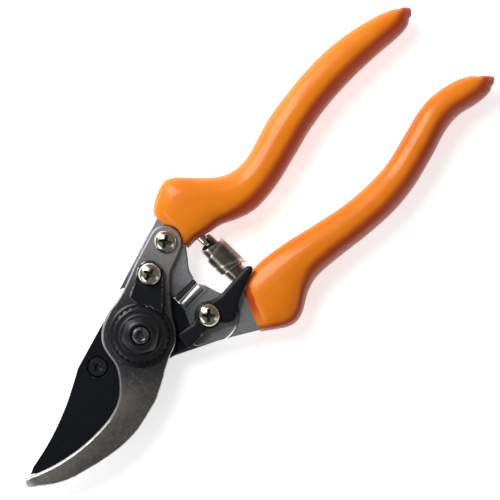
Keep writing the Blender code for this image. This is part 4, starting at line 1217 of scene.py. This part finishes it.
def nut():
    flange = new_object("toothed_pivot_nut", bpy.data.meshes.new("toothed_pivot_nut"))
    toothed_ring_tree().run(flange, {
        "Teeth": NUT_TEETH, "Points Per Tooth": 14, "Root Radius": (TOOTH_ROOT_R + 0.25) * MM,
        "Tip Radius": TOOTH_TIP_R * MM, "First Tooth": math.radians(FIRST_TOOTH),
        "Level": FLANGE_LOW * MM, "Thickness": (FLANGE_TOP - FLANGE_LOW) * MM,
        "Material": BLACK_NUT})
    rim = TOOTH_TIP_R + 0.1
    shaped(flange, "INTERSECT", turned("flange_trim", [
        *above(FLANGE_TOP, (0, 0.3), (8.9, 0.02), (rim, -0.62)),
        *above(FLANGE_LOW, (rim, 0.5), (9.3, -0.05), (0, -0.3))]))
    collar = turned("collar", [
        *above(FLANGE_TOP + 0.8, (0, 0), (6.9, 0), (7.35, -0.12), (7.6, -0.42)),
        *above(FLANGE_TOP, (7.75, -0.5), (0, -0.5))])
    body = hexagon("hexagon", 6.0, 1.1, FLANGE_TOP - 0.4, NUT_TOP, 0.7, 0.0, 5)
    crown = [
        (4.2 + 3.1 * k / 16, NUT_TOP + 0.02 - 3.0 * (k / 16) ** 1.45) for k in range(17)
    ]
    shaped(body, "INTERSECT", turned("dome", [
        (0, NUT_TOP + 0.02), *crown, (7.3, FLANGE_TOP - 1), (0, FLANGE_TOP - 1)]))
    shaped(flange, "UNION", collar, body)
    shaped(flange, "DIFFERENCE",
           bore(PIVOT, THREAD_R + 0.3, FLANGE_LOW - 1, NUT_TOP + 1, 64, 0.35, NUT_TOP))
    dress(crisp(flange, 28), BLACK_NUT, "hook_half", ["pivot_nut"])


def bolt():
    thread = []
    z = BOLT_TOP - 0.8
    while z > FLANGE_LOW:
        thread += [(THREAD_R - 0.04, z), (THREAD_R - 0.42, z - 0.25)]
        z -= 0.5
    stem = turned("pivot_bolt_stem", [
        *above(BOLT_TOP, (0, -1.1), (1.25, -1.0), (1.5, -0.4), (1.66, -0.06), (1.8, 0), (2.2, 0),
               (2.4, -0.1)),
        *thread, (THREAD_R, DISC_TOP), (SHANK_R, DISC_TOP),
        (SHANK_R, HEAD_TOP - 0.5), (0, HEAD_TOP - 0.5)])
    head = hexagon("pivot_bolt_head", 6.5, 0.4, 0.0, HEAD_TOP, 0.0, 0.0, 1)
    shaped(head, "INTERSECT", turned("head_ease", [
        *above(HEAD_TOP, (0, 0), (6.9, 0), (7.6, -0.3)), (7.6, 1.1), (6.2, 0.0), (0, 0.0)]))
    shaped(stem, "UNION", head)
    dress(crisp(stem, 28), BLACK_BOLT, "hook_half", ["pivot_bolt"])


def lock_segment():
    pitch = 360 / NUT_TEETH
    tooth = ((TOOTH_TIP_R + 0.3, 0.30), (TOOTH_ROOT_R + 0.5, 0.08),
             (TOOTH_ROOT_R + 0.5, -0.08), (TOOTH_TIP_R + 0.3, -0.30))
    teeth = [
        polar(PIVOT, radius, FIRST_TOOTH - (k + 0.5) * pitch + at * pitch)
        for k in range(4) for radius, at in tooth
    ]
    end = arc(SEGMENT_SCREW, 4.7, 215, 385)
    right = smooth([(14.0, -11.6), (12.9, -8.6), (11.8, -6.8)])
    plan = rounded([*teeth, (1.2, -12.2), *end, *right], 0.45, 24)
    piece = slab("toothed_lock_segment", plan, DISC_LOW, FLANGE_TOP, 0.45, 0.2, 4)
    shaped(piece, "DIFFERENCE", bore(PIVOT, SEGMENT_RELIEF_R, DISC_LOW - 1, DISC_TOP + 0.3, 128),
           *drills(DISC_LOW, FLANGE_TOP, (SEGMENT_SCREW, PLATE_HOLE_R)))
    dress(crisp(piece), BLACK_SEGMENT, "hook_half", ["nut_lock_segment"])


# ---- catch and spring


def catch():
    nose = [(-10.2, -15.2), (-9.7, -12.0), (-9.3, -9.3), (-9.8, -8.7), (-14.8, -8.0), (-15.4, -8.6)]
    left = [(-15.6, -15.4)]
    hub_left = arc(CATCH_PIVOT, 4.9, 130, 190)
    arm_left = smooth([
        (-18.6, -23.6), (-19.9, -26.0), (-19.0, -28.2), (-16.9, -31.2), (-15.3, -34.8),
        (-13.7, -39.4), (-12.7, -42.4)])
    tip = [(-11.9, -43.6), (-10.9, -43.7), (-10.0, -42.6)]
    arm_right = smooth([(-9.8, -41.0), (-10.1, -34.0), (-10.2, -28.6), (-9.3, -25.4)])
    hub_right = arc(CATCH_PIVOT, 4.9, -42, 58)
    plan = rounded([*nose, *left, *hub_left, *arm_left, *tip, *arm_right, *hub_right], 0.9, 16)
    lever = slab("thumb_catch", plan, CATCH_LOW, CATCH_TOP, 0.8, 0.4, 6, spread=1.8)
    # the thumb arm is relieved underneath, where it swings over the spring
    relief = slab("relief", [(-24, -31.5), (-24, -47), (-4, -47), (-4, -31.5)],
                  CATCH_LOW - 1, SPRING_TOP + 0.3, 0.0, 0.0, 1)
    shaped(lever, "DIFFERENCE", relief, bore(CATCH_PIVOT, 3.0, CATCH_LOW - 1, CATCH_TOP + 1, 64,
                                             0.3, CATCH_TOP))
    dress(crisp(lever), BLACK_CATCH, "catch", ["safety_catch"])


SPRING = {
    "Turns Left": 2.10, "Turns Right": 2.15, "Steps Per Turn": 64, "Radius": SPRING_R * MM,
    "Pitch In": 0.95 * MM, "Step Along": 4.3 * MM, "Half Width": 6.1 * MM, "Waist": 3.2 * MM,
    "Middle X": -2.75 * MM, "Axis Y": -38.7 * MM, "Axis Z": MIDDLE * MM,
    "Start Angle": math.radians(-90),
}


def spring():
    coil = new_object("volute_strip", bpy.data.meshes.new("volute_strip"))
    volute_tree().run(coil, {**SPRING, "Material": STRIP})
    wall = coil.modifiers.new("strip_thickness", "SOLIDIFY")
    wall.thickness = 0.6 * MM
    wall.offset = 1.0
    wall.use_even_offset = True
    apply_modifiers(coil)
    closed(opened(coil.data), coil.data)
    soften(coil, 40)
    paint(coil.data, STRIP)
    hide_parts("volute_spring")
    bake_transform(coil, "hook_half", "blade_half", start=(0.0075, -0.0387, MIDDLE * MM),
             end=(-0.0127, -0.0387, MIDDLE * MM))
    # each turn keeps its shape as the spring opens: one share for a whole strip's width
    turns = coil.data.attributes["turn"].data
    share = coil.data.attributes["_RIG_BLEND"].data
    whole = SPRING["Turns Left"] + SPRING["Turns Right"]
    for turn, value in zip(turns, share):
        value.value = unit((SPRING["Turns Right"] - turn.value) / whole)


# ---- what the CAD shows as it is


def plain_fittings():
    for node in ("bolt_washer", "catch_bush", "catch_wave_washer", "hook_arm_spring_peg",
                 "blade_arm_spring_peg"):
        paint(frame["nodes"][node].data, ZINC)


# ---- studio


def studio():
    table = Finish("pale_table", IOR=1.4)
    tone = table.noise(14, 3)
    fibre = table.noise(900, 3)
    table.shader.inputs["Emission Color"].default_value = (1.0, 1.0, 1.0, 1.0)
    table.shader.inputs["Emission Strength"].default_value = 0.64
    table.set(table.mix(tone, (0.90, 0.90, 0.90), (0.94, 0.94, 0.94)), 0.75, bumps=[
        (fibre, 0.00002, 0.2)])
    work = bmesh.new()
    bmesh.ops.create_grid(work, x_segments=2, y_segments=2, size=1.6)
    mesh = bpy.data.meshes.new("table")
    work.to_mesh(mesh)
    work.free()
    top = new_object("table", mesh)
    mesh.materials.append(table.material)

    world = bpy.data.worlds.new("studio")
    world.use_nodes = True
    background = world.node_tree.nodes["Background"].inputs
    background["Color"].default_value = (1.0, 1.0, 1.0, 1.0)
    background["Strength"].default_value = 0.14
    bpy.context.scene.world = world

    middle = Vector((-0.0069, -0.0474, 0.0095))
    for name, direction, distance, size, power in (
        ("key", (1.0, 0.0, 0.80), 0.60, (0.20, 0.60), 4.1),
        ("fill", (-0.85, -0.20, 0.50), 0.70, (0.20, 0.50), 0.25),
        ("end_light", (0.10, 1.0, 0.62), 0.70, (0.40, 0.20), 0.8),
    ):
        light = bpy.data.lights.new(name, "AREA")
        light.shape = "RECTANGLE"
        light.size, light.size_y = size
        light.energy = power
        obj = new_object(name, light)
        obj.location = middle + Vector(direction).normalized() * distance
        obj.rotation_euler = (middle - obj.location).to_track_quat("-Z", "Y").to_euler()


def camera():
    """Nearly straight down, turned so that the blades point to the lower left."""
    right = Vector((-0.718, -0.696, 0.0)).normalized()
    up = Vector((0.696, -0.718, 0.0)).normalized()
    target = Vector((-0.0069, -0.0474, 0.0120))
    seen, lens, film = 0.1737, 180.0, 36.0
    back = Vector((0, 0, 1)) + up * 0.020 - right * 0.035
    back.normalize()
    data = bpy.data.cameras.new("camera")
    data.lens = lens
    data.sensor_width = film
    data.clip_end = 10.0
    side = up.cross(back).normalized()
    turn = Matrix((side, back.cross(side), back)).transposed().to_4x4()
    obj = new_object("camera", data)
    obj.matrix_world = Matrix.Translation(target + back * (seen * lens / film)) @ turn
    bpy.context.scene.camera = obj
    bpy.context.scene.view_settings.view_transform = "Standard"


camera()
studio()
grips()
hook_arm()
blade_arm()
buffer()
hook_blade()
cutting_blade()
screws()
blade_screw()
thrust_disc()
nut()
bolt()
lock_segment()
catch()
spring()
plain_fittings()
